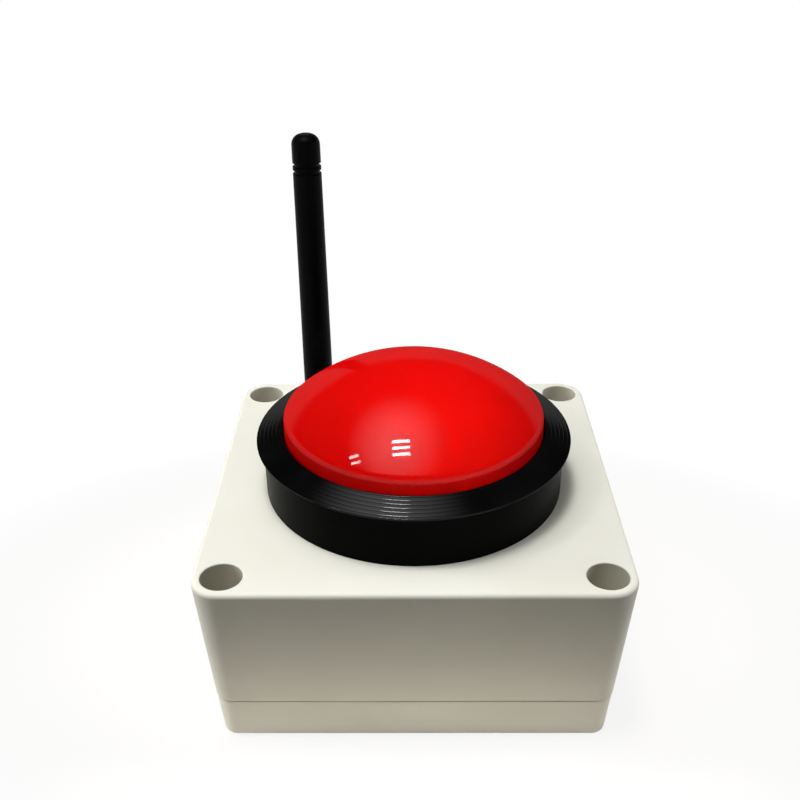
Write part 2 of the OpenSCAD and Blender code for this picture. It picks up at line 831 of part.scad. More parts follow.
module led_lamp() {
    foot = cup_z + socket_h;
    color("aliceblue") at_button() {
        box_on([wedge_w, wedge_t, wedge_h + cut], foot - wedge_h);
        translate([0, 0, foot]) cylinder(d = lamp_d, h = lamp_len - lamp_d / 2);
        translate([0, 0, foot + lamp_len - lamp_d / 2]) sphere(d = lamp_d);
    }
}

module switch_case_shape() {
    translate([switch_x0, -switch_t / 2, switch_top - switch_h]) cube([switch_l, switch_t, switch_h]);
    for (y = [-1, 1]) translate([pivot_x, y * (lever_w / 2 + slide_gap + ear_t / 2), 0]) {
        translate([0, 0, pivot_z]) rotate([90, 0, 0]) cylinder(d = ear_d, h = ear_t, center = true);
        box_on([ear_d, ear_t, pivot_rise + cut], switch_top - cut);
    }
}

module microswitch_case() {
    hole_z = [switch_top - switch_hole_in, switch_top - switch_h + switch_hole_in];
    hole_x = [switch_x0 + switch_l - switch_hole_in, switch_x0 + switch_hole_in];
    color("dimgray") at_button() difference() {
        switch_case_shape();
        for (i = [0, 1]) translate([hole_x[i], 0, hole_z[i]])
            rod_y(switch_hole_d / 2, -switch_t / 2 - cut, switch_t + 2 * cut);
        translate([pivot_x + pin_reach, 0, switch_top - switch_pin_depth])
            cylinder(d = switch_pin_d + 2 * slide_gap, h = switch_pin_depth + cut);
        translate([pivot_x, 0, pivot_z]) rotate([90, 0, 0])
            cylinder(d = pivot_d + 2 * slide_gap, h = switch_t, center = true);
        for (down = switch_tab_down) translate([switch_x0 + switch_l, 0, switch_top - down]) cube(
            [2 * (switch_tab_in + fit), switch_tab[1] + 2 * fit, switch_tab[2] + 2 * fit], center = true
        );
    }
}

module microswitch_lever() {
    color("silver") at_button() translate([pivot_x, 0, pivot_z]) rotate([0, -lever_angle, 0]) {
        translate([0, -lever_w / 2, -lever_t / 2]) cube([lever_l + lever_over, lever_w, lever_t]);
        rotate([90, 0, 0]) cylinder(d = pivot_d, h = lever_w + 2 * ear_t, center = true);
    }
}

module microswitch_pin() {
    pin_bottom = switch_top - switch_pin_depth + pin_travel + slide_gap;
    dome_z = pin_low_z + pin_travel - switch_pin_d / 2;
    color("black") at_button() translate([pivot_x + pin_reach, 0, 0]) {
        translate([0, 0, pin_bottom]) cylinder(d = switch_pin_d, h = dome_z - pin_bottom);
        translate([0, 0, dome_z]) sphere(d = switch_pin_d);
    }
}

module microswitch_terminals() {
    tab_x0 = switch_x0 + switch_l - switch_tab_in;
    color("goldenrod") at_button() for (down = switch_tab_down)
        translate([tab_x0, -switch_tab[1] / 2, switch_top - down - switch_tab[2] / 2])
            cube([switch_tab[0] + switch_tab_in, switch_tab[1], switch_tab[2]]);
}

module transmitter_board() {
    color("darkgreen") difference() {
        translate([0, board_y, 0]) box_on([board_w, board_d, board_t], board_z);
        board_posts() translate([0, 0, board_z - cut])
            cylinder(d = board_screw_d + 2 * slide_gap, h = board_t + 2 * cut);
    }
}

module board_screws() {
    color("silver") board_posts() {
        translate([0, 0, board_top])
            cylinder(d1 = board_screw_head_d, d2 = board_screw_head_d * head_taper, h = board_screw_head_h);
        translate([0, 0, board_top - board_screw_len])
            cylinder(d = board_screw_d, h = board_screw_len + board_screw_head_h / 2);
    }
}

module radio_module() {
    can_y = module_at[1] - module_can_front;
    color("seagreen") translate([module_at[0], module_at[1], 0]) box_on(module_size, board_top);
    color("silver") {
        translate([module_at[0], can_y, 0]) box_on(module_can, board_top + module_size[2]);
        translate(module_plug) cylinder(r = plug_r, h = plug_h);
    }
}

module encoder_chip() {
    leg_pitch = chip_size[0] / chip_legs;
    color("black") translate([chip_x, board_y + parts_back, board_top]) {
        box_on(chip_size, 0);
        for (i = [0:chip_legs - 1], y = [-1, 1])
            translate([(i - (chip_legs - 1) / 2) * leg_pitch, y * (chip_size[1] + chip_leg[1]) / 2, 0])
                box_on([chip_leg[0], 2 * chip_leg[1], chip_leg[2]], 0);
    }
}

module board_capacitors() {
    color("midnightblue") for (back = can_back)
        translate([can_x, board_y + back, board_top]) cylinder(r = can_r, h = can_h);
}

module terminal_block() {
    color("forestgreen") difference() {
        translate([0, block_y + block_size[1] / 2, 0]) box_on(block_size, board_top);
        for (i = [0:ways - 1]) translate([way_x(i), block_y, 0]) {
            translate([0, 0, block_hole_z]) rod_y(block_hole_d / 2, -cut, block_hole_depth + cut);
            translate([0, block_size[1] / 2 + block_well_back, board_top + block_size[2] - block_well_depth])
                cylinder(r = block_well_r, h = block_well_depth + cut);
        }
    }
}

module battery() {
    color("slategray") {
        translate([battery_x, battery_y, 0]) box_on([battery_l, battery_w, battery_h], battery_z);
        for (i = [0, 1]) translate([battery_end, battery_y + (i - 0.5) * stud_pitch, battery_mid_z])
            rotate([0, 90, 0]) cylinder(d = stud_d[i], h = stud_h);
    }
}

module battery_pad() {
    color("darkgray") translate([battery_x, battery_y, 0])
        box_on([battery_l * pad_share, battery_w * pad_share, pad_t], floor_t);
}

module battery_snap() {
    color("black") difference() {
        translate([battery_end + snap_t / 2 + fit / 2, battery_y, battery_mid_z])
            cube([snap_t - fit, snap_size[0], snap_size[1]], center = true);
        for (i = [0, 1]) translate([battery_end - cut, battery_y + (i - 0.5) * stud_pitch, battery_mid_z])
            rotate([0, 90, 0]) cylinder(d = stud_d[i] + 2 * fit, h = stud_h + cut + fit);
    }
}

module battery_leads() {
    color("red") wire(battery_route(0));
    color("black") wire(battery_route(1));
}

module switch_leads() {
    for (i = [0, 1]) color("gold") wire(switch_route(i));
}

module lamp_leads() {
    for (i = [0, 1]) color("royalblue") wire(lamp_route(i));
}

module antenna_jack() {
    color("goldenrod") at_jack() {
        inner = flat_y - seat_y;
        rod_y(jack_r, -inner - flange_t / 2, jack_out + inner + flange_t / 2);
        rod_y(flange_r, -inner - flange_t, flange_t);
        rod_y(jack_body_r, -inner - flange_t - jack_body_l, jack_body_l + flange_t / 2);
    }
}

module jack_washer() {
    color("silver") at_jack() difference() {
        rod_y(washer_r, 0, washer_t);
        rod_y(jack_r + fit, -cut, washer_t + 2 * cut);
    }
}

module jack_nut() {
    color("goldenrod") at_jack() difference() {
        translate([0, washer_t, 0]) rotate([-90, 0, 0])
            cylinder(d = across_corners(jack_nut_w), h = jack_nut_t, $fn = hex_sides);
        rod_y(jack_r + fit, 0, washer_t + jack_nut_t + cut);
    }
}

module antenna_pigtail() {
    path = curve(pigtail_route, wire_steps);
    color("black") tube(path, pigtail_d, wire_sides, [1, 0, 0], route_ends(pigtail_route));
}

module coupling_nut() {
    inner_l = coupling_l - coupling_end_t;
    color("goldenrod") at_jack() translate([0, coupling_y, 0]) difference() {
        union() {
            rotate([-90, 0, 0])
                cylinder(d = across_corners(coupling_w), h = coupling_hex_l, $fn = hex_sides);
            rod_y(coupling_collar_r, 0, coupling_l);
        }
        rod_y(jack_r + fit, -cut, inner_l + cut);
        rod_y(coupling_hole_r, 0, coupling_l + cut);
    }
}

module antenna_knuckle() {
    color("black") at_jack() {
        rod_y(head_r, head_y, head_t);
        rod_y(neck_r, head_y, barrel_y - head_y + cut);
        difference() {
            union() {
                rod_y(knuckle_r, barrel_y, fold_reach - barrel_y);
                translate([0, fold_reach, 0]) rod_x(fork_r, 2 * fork_r);
            }
            translate([-fork_slot / 2, slot_y, -knuckle_r - cut])
                cube([fork_slot, 2 * knuckle_d, knuckle_d + 2 * cut]);
            translate([0, fold_reach, 0]) rod_x(pin_d / 2 + fit / 2, knuckle_d + 2 * cut);
        }
    }
}

module hinge_pin() {
    color("silver") at_fold() rod_x(pin_d / 2, 2 * (fork_r - pin_in));
}

module antenna_hinge() {
    color("black") at_fold() {
        difference() {
            union() {
                rod_x(tongue_r, tongue_w);
                box_on([tongue_w, 2 * tongue_r, foot_z + foot_t / 2], 0);
            }
            rod_x(pin_d / 2 + slide_gap, tongue_w + 2 * cut);
        }
        translate([0, 0, foot_z]) cylinder(d = stub_d, h = foot_t);
        translate([0, 0, foot_z + foot_t / 2]) cylinder(r = spigot_r, h = foot_t / 2 + spigot_l);
    }
}

module antenna_sleeve() {
    function stub_r(z) = (stub_d + (tip_d - stub_d) * (z - foot_top) / (stub_len - foot_top)) / 2;
    notches = [
        for (i = [1, 0]) let(z = stub_len - notch_down[i] - notch_w) each [
            [stub_r(z), z],
            [stub_r(z) - notch_depth, z],
            [stub_r(z) - notch_depth, z + notch_w],
            [stub_r(z), z + notch_w]
        ]
    ];
    color("black") at_fold() difference() {
        rotate_extrude() polygon(concat(
            [[0, foot_top], [stub_r(foot_top), foot_top]],
            notches,
            arc([stub_r(stub_len) - tip_round, stub_len - tip_round], tip_round, 0, 90),
            [[0, stub_len]]
        ));
        translate([0, 0, foot_top - cut]) cylinder(r = spigot_r + fit, h = spigot_l + cut + fit);
        translate([0, 0, foot_top]) cylinder(r = radiator_r + fit, h = notch_end - foot_top);
    }
}

module antenna_radiator() {
    z0 = foot_top + spigot_l + fit;
    color("goldenrod") at_fold() translate([0, 0, z0]) cylinder(r = radiator_r, h = notch_end - z0 - fit);
}

upper_housing();
base_cover();
housing_seal();
housing_screws();
button_bezel();
stem_nut();
dome_cap();
plunger();
return_spring();
lamp_holder();
lamp_contacts();
led_lamp();
microswitch_case();
microswitch_lever();
microswitch_pin();
microswitch_terminals();
transmitter_board();
board_screws();
radio_module();
encoder_chip();
board_capacitors();
terminal_block();
battery();
battery_pad();
battery_snap();
battery_leads();
switch_leads();
lamp_leads();
antenna_jack();
jack_washer();
jack_nut();
antenna_pigtail();
coupling_nut();
antenna_knuckle();
hinge_pin();
antenna_hinge();
antenna_sleeve();
antenna_radiator();
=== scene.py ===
import bmesh
import bpy
import json
import math
from mathutils import Matrix, Vector


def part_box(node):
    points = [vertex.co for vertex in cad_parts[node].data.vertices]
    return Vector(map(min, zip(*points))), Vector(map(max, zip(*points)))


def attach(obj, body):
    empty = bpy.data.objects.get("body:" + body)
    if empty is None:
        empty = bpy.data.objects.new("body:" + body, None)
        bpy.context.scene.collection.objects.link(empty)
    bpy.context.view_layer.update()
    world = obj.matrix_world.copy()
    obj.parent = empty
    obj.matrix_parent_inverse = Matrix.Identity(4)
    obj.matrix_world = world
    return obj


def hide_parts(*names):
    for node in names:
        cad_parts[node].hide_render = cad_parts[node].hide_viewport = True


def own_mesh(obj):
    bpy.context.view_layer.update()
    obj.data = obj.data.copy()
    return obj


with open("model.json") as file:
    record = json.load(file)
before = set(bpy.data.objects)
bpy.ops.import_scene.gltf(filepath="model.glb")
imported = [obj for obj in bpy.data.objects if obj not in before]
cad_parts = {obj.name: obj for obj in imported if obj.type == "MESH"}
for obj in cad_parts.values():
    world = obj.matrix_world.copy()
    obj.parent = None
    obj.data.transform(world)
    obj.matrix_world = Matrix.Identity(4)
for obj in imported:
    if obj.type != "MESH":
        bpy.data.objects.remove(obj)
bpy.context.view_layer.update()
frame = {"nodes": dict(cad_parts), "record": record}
print("buzzer: frame loaded")


# Camera, floor and lamps

cameraSetup = {
    "place": (-0.001578, -0.281945, 0.239613),
    "pan": -0.584,  # degrees to the right of straight ahead
    "tilt": 32.373,  # degrees down
    "roll": -0.465,
    "lens": 45.156,
    "sensor": 36,
    "shift": 0.0875,
}


def addCamera(setup):
    bpy.ops.object.select_all(action="DESELECT")
    bpy.ops.object.camera_add(location=setup["place"])
    camera = bpy.context.object
    camera.name = "photoCamera"
    turnZ = Matrix.Rotation(math.radians(-setup["pan"]), 4, "Z")
    turnX = Matrix.Rotation(math.radians(90 - setup["tilt"]), 4, "X")
    rollZ = Matrix.Rotation(math.radians(setup["roll"]), 4, "Z")
    camera.rotation_euler = (turnZ @ turnX @ rollZ).to_euler()
    camera.data.lens = setup["lens"]
    camera.data.sensor_width = setup["sensor"]
    camera.data.shift_y = setup["shift"]
    bpy.context.scene.camera = camera


studio = {
    "floorSize": 40.0,
    "floorColour": (0.86, 0.82, 0.74, 1),
    "tableColour": (0.06, 0.055, 0.05, 1),  # what the far floor gives back to the object
    "sheetNear": 0.075,  # the pale sheet under the object fades between these distances
    "sheetFar": 0.13,
    "sheetSlim": (0.65, 1, 1),  # the sheet is wider than it is deep
    "floorWhite": 0.86,  # share of plain white in what the camera sees of the near floor
    "skyLight": 0.05,
    "skyEdge": 1.0,  # what the camera sees of the sky near the floor's edge
    "skyLow": 0.18,  # how steeply one looks up where that begins to fade, and where it ends
    "skyHigh": 0.35,
    "ceiling": {
        "place": (-0.22, -0.06, 1.29), "aim": (-0.22, -0.06, 0), "size": (1.6, 2.2), "watts": 49.5,
        "fadeAt": 0.43,  # how far from its middle its glow ends, as a share of its sides
    },
    "tubes": {
        "tubeA": {
            "place": (-0.14, -0.14, 1.28), "size": (0.20, 0.045), "gap": 0.09, "count": 3, "watts": 2.2,
        },
        "tubeB": {
            "place": (-0.76, -0.18, 1.27), "size": (0.16, 0.05), "gap": 0.12, "count": 2, "watts": 1.1,
        },
    },
    "fills": {  # these light the object and show in no reflection, spreads are in degrees
        "apron": {
            "place": (0, -0.09, 0.40), "aim": (0, -0.09, 0), "size": (0.22, 0.015), "watts": 0.030,
            "spread": 6, "colour": (1, 0.93, 0.82),
        },
        "domeKey": {
            "place": (0.10, -0.79, 0.60), "aim": (0.002, -0.006, 0.084), "size": (0.05, 0.05),
            "watts": 0.012, "spread": 3.5,
        },
        "sideFill0": {"place": (-0.85, 0.08, 0.30), "aim": (0, 0, 0.05), "size": (0.24, 0.5), "watts": 3.6},
        "sideFill1": {"place": (0.85, 0.08, 0.30), "aim": (0, 0, 0.05), "size": (0.24, 0.5), "watts": 2.0},
    },
}


def setSockets(node, sockets):
    for socket, value in sockets.items():
        node.inputs[socket].default_value = value


def addNode(nodes, kind, sockets=None, **settings):
    node = nodes.new("ShaderNode" + kind)
    for setting, value in settings.items():
        setattr(node, setting, value)
    setSockets(node, sockets or {})
    return node


def connect(links, rows):
    for source, output, target, socket in rows:
        links.new(source.outputs[output], target.inputs[socket])


def addLamp(name, setup, place, aim):
    bpy.ops.object.select_all(action="DESELECT")
    bpy.ops.object.light_add(type="AREA", location=place)
    lamp = bpy.context.object
    lamp.name = name
    lamp.rotation_euler = (Vector(aim) - Vector(place)).to_track_quat("-Z", "Y").to_euler()
    lamp.data.shape = "RECTANGLE"
    lamp.data.size, lamp.data.size_y = setup["size"]
    lamp.data.energy = setup["watts"]
    lamp.visible_camera = False
    return lamp


def fadeLamp(lamp, fadeAt):
    # the panel glows most at its middle and fades out towards its edges
    lamp.data.use_nodes = True
    nodes, links = lamp.data.node_tree.nodes, lamp.data.node_tree.links
    spot = addNode(nodes, "NewGeometry")
    away = addNode(nodes, "VectorMath", {1: (0.5, 0.5, 0)}, operation="DISTANCE")
    ends = {"From Max": fadeAt, "To Min": 1, "To Max": 0}
    fade = addNode(nodes, "MapRange", ends, interpolation_type="SMOOTHSTEP")
    connect(links, [
        (spot, "Parametric", away, 0),
        (away, "Value", fade, "Value"),
        (fade, "Result", nodes["Emission"], "Strength"),
    ])


def seenRays(nodes, links):
    # 1 where the camera looks, straight or by a reflection or through glass
    path = addNode(nodes, "LightPath")
    seen = path.outputs["Is Camera Ray"]
    for ray in ("Is Glossy Ray", "Is Transmission Ray"):
        either = addNode(nodes, "Math", operation="MAXIMUM")
        links.new(seen, either.inputs[0])
        links.new(path.outputs[ray], either.inputs[1])
        seen = either.outputs[0]
    return seen


def whiteFloor(setup):
    material = bpy.data.materials.new("whiteFloor")
    material.use_nodes = True
    nodes, links = material.node_tree.nodes, material.node_tree.links
    nodes.clear()
    place = addNode(nodes, "TexCoord")
    slim = addNode(nodes, "VectorMath", {1: setup["sheetSlim"]}, operation="MULTIPLY")
    length = addNode(nodes, "VectorMath", operation="LENGTH")
    fade = addNode(nodes, "MapRange", {"From Min": setup["sheetNear"], "From Max": setup["sheetFar"]})
    sheet = addNode(nodes, "Mix", {"A": setup["floorColour"], "B": setup["tableColour"]}, data_type="RGBA")
    white = addNode(nodes, "MapRange", {"To Min": setup["floorWhite"]})
    share = addNode(nodes, "Math", operation="MULTIPLY")
    diffuse = addNode(nodes, "BsdfDiffuse")
    glow = addNode(nodes, "Emission")
    mix = addNode(nodes, "MixShader")
    output = addNode(nodes, "OutputMaterial")
    links.new(seenRays(nodes, links), share.inputs[0])
    connect(links, [
        (place, "Object", slim, 0),
        (slim, "Vector", length, 0),
        (length, "Value", fade, "Value"),
        (fade, "Result", sheet, "Factor"),
        (fade, "Result", white, "Value"),
        (sheet, "Result", diffuse, "Color"),
        (white, "Result", share, 1),
        (share, 0, mix, "Fac"),
        (diffuse, 0, mix, 1),
        (glow, 0, mix, 2),
        (mix, 0, output, "Surface"),
    ])
    return material


def addSky(setup):
    # a dim room whose far edge looks as pale as the floor
    world = bpy.data.worlds.new("studioWorld")
    world.use_nodes = True
    nodes, links = world.node_tree.nodes, world.node_tree.links
    place = addNode(nodes, "TexCoord")
    split = addNode(nodes, "SeparateXYZ")
    ends = {
        "From Min": setup["skyLow"], "From Max": setup["skyHigh"],
        "To Min": setup["skyEdge"], "To Max": setup["skyLight"],
    }
    fade = addNode(nodes, "MapRange", ends, interpolation_type="SMOOTHSTEP")
    level = addNode(nodes, "Mix", {"A": setup["skyLight"]})
    sky = nodes["Background"]
    sky.inputs["Color"].default_value = (1, 1, 1, 1)
    links.new(seenRays(nodes, links), level.inputs["Factor"])
    connect(links, [
        (place, "Generated", split, "Vector"),
        (split, "Z", fade, "Value"),
        (fade, "Result", level, "B"),
        (level, "Result", sky, "Strength"),
    ])
    bpy.context.scene.world = world


def addStudio(setup):
    bpy.ops.object.select_all(action="DESELECT")
    bpy.ops.mesh.primitive_plane_add(size=setup["floorSize"], location=(0, 0, 0))
    floor = bpy.context.object
    floor.name = "studioFloor"
    floor.data.materials.append(whiteFloor(setup))
    addSky(setup)
    ceiling = setup["ceiling"]
    panel = addLamp("ceilingPanel", ceiling, ceiling["place"], ceiling["aim"])
    fadeLamp(panel, ceiling["fadeAt"])
    for name, tubes in setup["tubes"].items():
        middle = (tubes["count"] - 1) / 2
        for number in range(tubes["count"]):
            place = Vector(tubes["place"]) + Vector((0, (number - middle) * tubes["gap"], 0))
            addLamp(f"{name}{number}", tubes, place, (place.x, place.y, 0))
    for name, fill in setup["fills"].items():
        lamp = addLamp(name, fill, fill["place"], fill["aim"])
        lamp.data.spread = math.radians(fill.get("spread", 180))
        lamp.data.color = fill.get("colour", (1, 1, 1))
        lamp.visible_glossy = False


bpy.context.scene.view_settings.view_transform = "Standard"
addCamera(cameraSetup)
addStudio(studio)
print("buzzer: camera, floor and lamps placed")


# Modelling helpers

tolerance = {"weld": 1e-6, "level": 1e-5, "round": 3e-5}


def dropSelection():
    if bpy.context.object and bpy.context.object.mode != "OBJECT":
        bpy.ops.object.mode_set(mode="OBJECT")
    bpy.ops.object.select_all(action="DESELECT")


def takeUp(piece):
    dropSelection()
    piece.select_set(True)
    bpy.context.view_layer.objects.active = piece


def openEdit(piece):
    # everything is selected at first
    takeUp(piece)
    bpy.ops.object.mode_set(mode="EDIT")
    bpy.ops.mesh.select_mode(type="VERT")
    bpy.ops.mesh.select_all(action="SELECT")


def closeEdit():
    bpy.ops.object.mode_set(mode="OBJECT")


def fixPlace():
    bpy.ops.object.transform_apply(location=True, rotation=True, scale=True)


def begin(name, addShape, **shape):
    dropSelection()
    addShape(**shape)
    piece = bpy.context.object
    piece.name = name
    fixPlace()
    return piece


def finishWith(piece, kind, **settings):
    takeUp(piece)
    modifier = piece.modifiers.new("finish", kind)
    for setting, value in settings.items():
        setattr(modifier, setting, value)
    bpy.ops.object.modifier_apply(modifier=modifier.name)


def pickEdges(test):
    bpy.ops.mesh.select_mode(type="EDGE")
    bpy.ops.mesh.select_all(action="DESELECT")
    mesh = bmesh.from_edit_mesh(bpy.context.edit_object.data)
    for edge in mesh.edges:
        if test(edge):
            edge.select_set(True)
    bmesh.update_edit_mesh(bpy.context.edit_object.data)


def tidyMesh(piece):
    openEdit(piece)
    bpy.ops.mesh.remove_doubles(threshold=tolerance["weld"])
    bpy.ops.mesh.normals_make_consistent(inside=False)
    closeEdit()


def copyOf(piece, name, shift):
    takeUp(piece)
    bpy.ops.object.duplicate()
    twin = bpy.context.object
    twin.name = name
    bpy.ops.transform.translate(value=shift)
    fixPlace()
    return twin


def joined(pieces):
    takeUp(pieces[0])
    for piece in pieces[1:]:
        piece.select_set(True)
    bpy.ops.object.join()
    return bpy.context.object


def carve(piece, tools, operation="DIFFERENCE"):
    tool = joined(tools) if len(tools) > 1 else tools[0]
    finishWith(piece, "BOOLEAN", solver="EXACT", operation=operation, object=tool)
    bpy.data.objects.remove(tool)
    return piece


def rodTool(radius, low, high, axis="Z", steps=64, topRadius=None):
    # a rod or cone between two points on one axis, to cut or join with
    low, high = Vector(low), Vector(high)
    turns = {"Z": (0, 0, 0), "Y": (-math.pi / 2, 0, 0), "X": (0, math.pi / 2, 0)}
    return begin(
        "tool", bpy.ops.mesh.primitive_cone_add, vertices=steps,
        radius1=radius, radius2=radius if topRadius is None else topRadius,
        depth=(high - low).length, location=(low + high) / 2, rotation=turns[axis],
    )


def rodsAt(spots, radius, low, high, **shape):
    return [rodTool(radius, (x, y, low), (x, y, high), **shape) for x, y in spots]


def boxTool(low, high):
    low, high = Vector(low), Vector(high)
    return begin(
        "tool", bpy.ops.mesh.primitive_cube_add, size=1, location=(low + high) / 2, scale=high - low
    )


def middleOf(node):
    low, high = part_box(node)
    return (low + high) / 2


def arcPoints(centre, radius, startAngle, endAngle, steps):
    spread = (endAngle - startAngle) / steps
    angles = [math.radians(startAngle + spread * step) for step in range(steps + 1)]
    return [(centre[0] + radius * math.cos(a), centre[1] + radius * math.sin(a)) for a in angles]


def softCorners(points, steps=4):
    # points are (radius, height) or (radius, height, fillet)
    made = []
    for number, point in enumerate(points):
        here = Vector(point[:2])
        if len(point) < 3:
            made.append(tuple(here))
            continue
        back = (Vector(points[number - 1][:2]) - here).normalized()
        ahead = (Vector(points[(number + 1) % len(points)][:2]) - here).normalized()
        half = back.angle(ahead) / 2
        middle = here + (back + ahead).normalized() * (point[2] / math.sin(half))
        start = here + back * (point[2] / math.tan(half)) - middle
        end = here + ahead * (point[2] / math.tan(half)) - middle
        first = math.atan2(start.y, start.x)
        sweep = (math.atan2(end.y, end.x) - first + math.pi) % math.tau - math.pi
        for step in range(steps + 1):
            angle = first + sweep * step / steps
            made.append((middle.x + point[2] * math.cos(angle), middle.y + point[2] * math.sin(angle)))
    return made


def turned(name, outline, centre, axis="Z", steps=96):
    # a small plane is merged to a point and drawn along the outline, and the line is spun round the axis
    along = Vector((0, 0, 1)) if axis == "Z" else Vector((0, 1, 0))
    spots = [Vector(centre) + Vector((1, 0, 0)) * r + along * h for r, h in outline]
    piece = begin(name, bpy.ops.mesh.primitive_plane_add, size=0.001)
    openEdit(piece)
    bpy.ops.mesh.merge(type="CENTER")
    bpy.ops.transform.translate(value=spots[0])
    for here, ahead in zip(spots, spots[1:]):
        bpy.ops.mesh.extrude_region_move(TRANSFORM_OT_translate={"value": ahead - here})
    bpy.ops.mesh.select_all(action="SELECT")
    bpy.ops.mesh.spin(steps=steps, angle=math.tau, center=centre, axis=along)
    closeEdit()
    tidyMesh(piece)
    return piece


def leaningBlock(name, half, corner, top, bottom, leanIn, steps=12):
    # a plane with round corners, drawn down while its outline moves in
    piece = begin(name, bpy.ops.mesh.primitive_plane_add, size=2 * half, location=(0, 0, top))
    openEdit(piece)
    bpy.ops.mesh.bevel(offset=corner, segments=steps, affect="VERTICES")
    bpy.ops.mesh.select_all(action="SELECT")
    bpy.ops.mesh.flip_normals()
    bpy.ops.mesh.inset(thickness=leanIn, depth=top - bottom)
    pickEdges(lambda edge: edge.is_boundary)
    bpy.ops.mesh.edge_face_add()
    closeEdit()
    tidyMesh(piece)
    return piece


def levelEdges(height):
    def test(edge):
        return all(abs(vert.co.z - height) < tolerance["level"] for vert in edge.verts)
    return test


def softenEdges(piece, test, width, steps=4):
    openEdit(piece)
    pickEdges(test)
    bpy.ops.mesh.bevel(offset=width, segments=steps, affect="EDGES")
    closeEdit()


def softenAll(piece, width, angle, steps=2):
    finishWith(
        piece, "BEVEL", width=width, segments=steps, limit_method="ANGLE", angle_limit=math.radians(angle),
        use_clamp_overlap=True,
    )


def settle(piece, body, slot, node, angle=32):
    takeUp(piece)
    bpy.ops.object.shade_smooth_by_angle(angle=math.radians(angle))
    finishWith(piece, "WEIGHTED_NORMAL", keep_sharp=True)
    piece.data.materials.clear()
    piece.data.materials.append(finishes[slot])
    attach(piece, body)
    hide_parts(node)


# Finishes: colours are linear, scales are per metre, depths are metres

pattern = {
    "patchDetail": 4,
    "grainDetail": 2,
    "ringDetail": 3,
    "tintFrom": 0.34,  # the patch values of the deep and the pale colour
    "tintTo": 0.66,
    "shineFrom": 0.3,  # and of the two ends of the roughness
    "shineTo": 0.7,
}


def surface(name, look):
    material = bpy.data.materials.new(name)
    material.use_nodes = True
    nodes, links = material.node_tree.nodes, material.node_tree.links
    shader = nodes["Principled BSDF"]
    setSockets(shader, {
        "Metallic": look["metal"], "Specular IOR Level": look["gloss"],
        "Transmission Weight": look["clear"], **look["coat"], **look["glow"],
    })
    place = addNode(nodes, "TexCoord")
    spread = addNode(nodes, "Mapping", {"Location": look["shift"], "Scale": look["stretch"]})
    patches = addNode(nodes, "TexNoise", {"Scale": look["patch"], "Detail": pattern["patchDetail"]})
    tint = addNode(nodes, "ValToRGB")
    stops = ((pattern["tintFrom"], look["deep"]), (pattern["tintTo"], look["pale"]))
    for stop, (position, colour) in zip(tint.color_ramp.elements, stops):
        stop.position = position
        stop.color = (*colour, 1)
    ends = {
        "From Min": pattern["shineFrom"], "From Max": pattern["shineTo"],
        "To Min": look["rough"][0], "To Max": look["rough"][1],
    }
    shine = addNode(nodes, "MapRange", ends)
    grain = addNode(nodes, "TexNoise", {"Scale": look["grain"], "Detail": pattern["grainDetail"]})
    bump = addNode(nodes, "Bump", {"Strength": look["bump"], "Distance": look["depth"]})
    connect(links, [
        (place, "Object", spread, "Vector"),
        (spread, "Vector", patches, "Vector"),
        (patches, "Fac", tint, "Fac"),
        (tint, "Color", shader, "Base Color"),
        (patches, "Fac", shine, "Value"),
        (shine, "Result", shader, "Roughness"),
        (spread, "Vector", grain, "Vector"),
        (grain, "Fac", bump, "Height"),
        (bump, "Normal", shader, "Normal"),
    ])
    if "rings" in look:
        addRings(nodes, links, spread, bump, look["rings"])
    return material


def addRings(nodes, links, spread, bump, rings):
    # fine turned lines round the axis that the mapping's shift puts at the middle
    course = {"Scale": rings["scale"], "Distortion": rings["waver"], "Detail": pattern["ringDetail"]}
    wave = addNode(nodes, "TexWave", course, wave_type="RINGS", rings_direction="Z")
    lines = addNode(nodes, "Bump", {"Strength": rings["bump"], "Distance": rings["depth"]})
    connect(links, [
        (spread, "Vector", wave, "Vector"),
        (wave, "Fac", lines, "Height"),
        (lines, "Normal", bump, "Normal"),
    ])


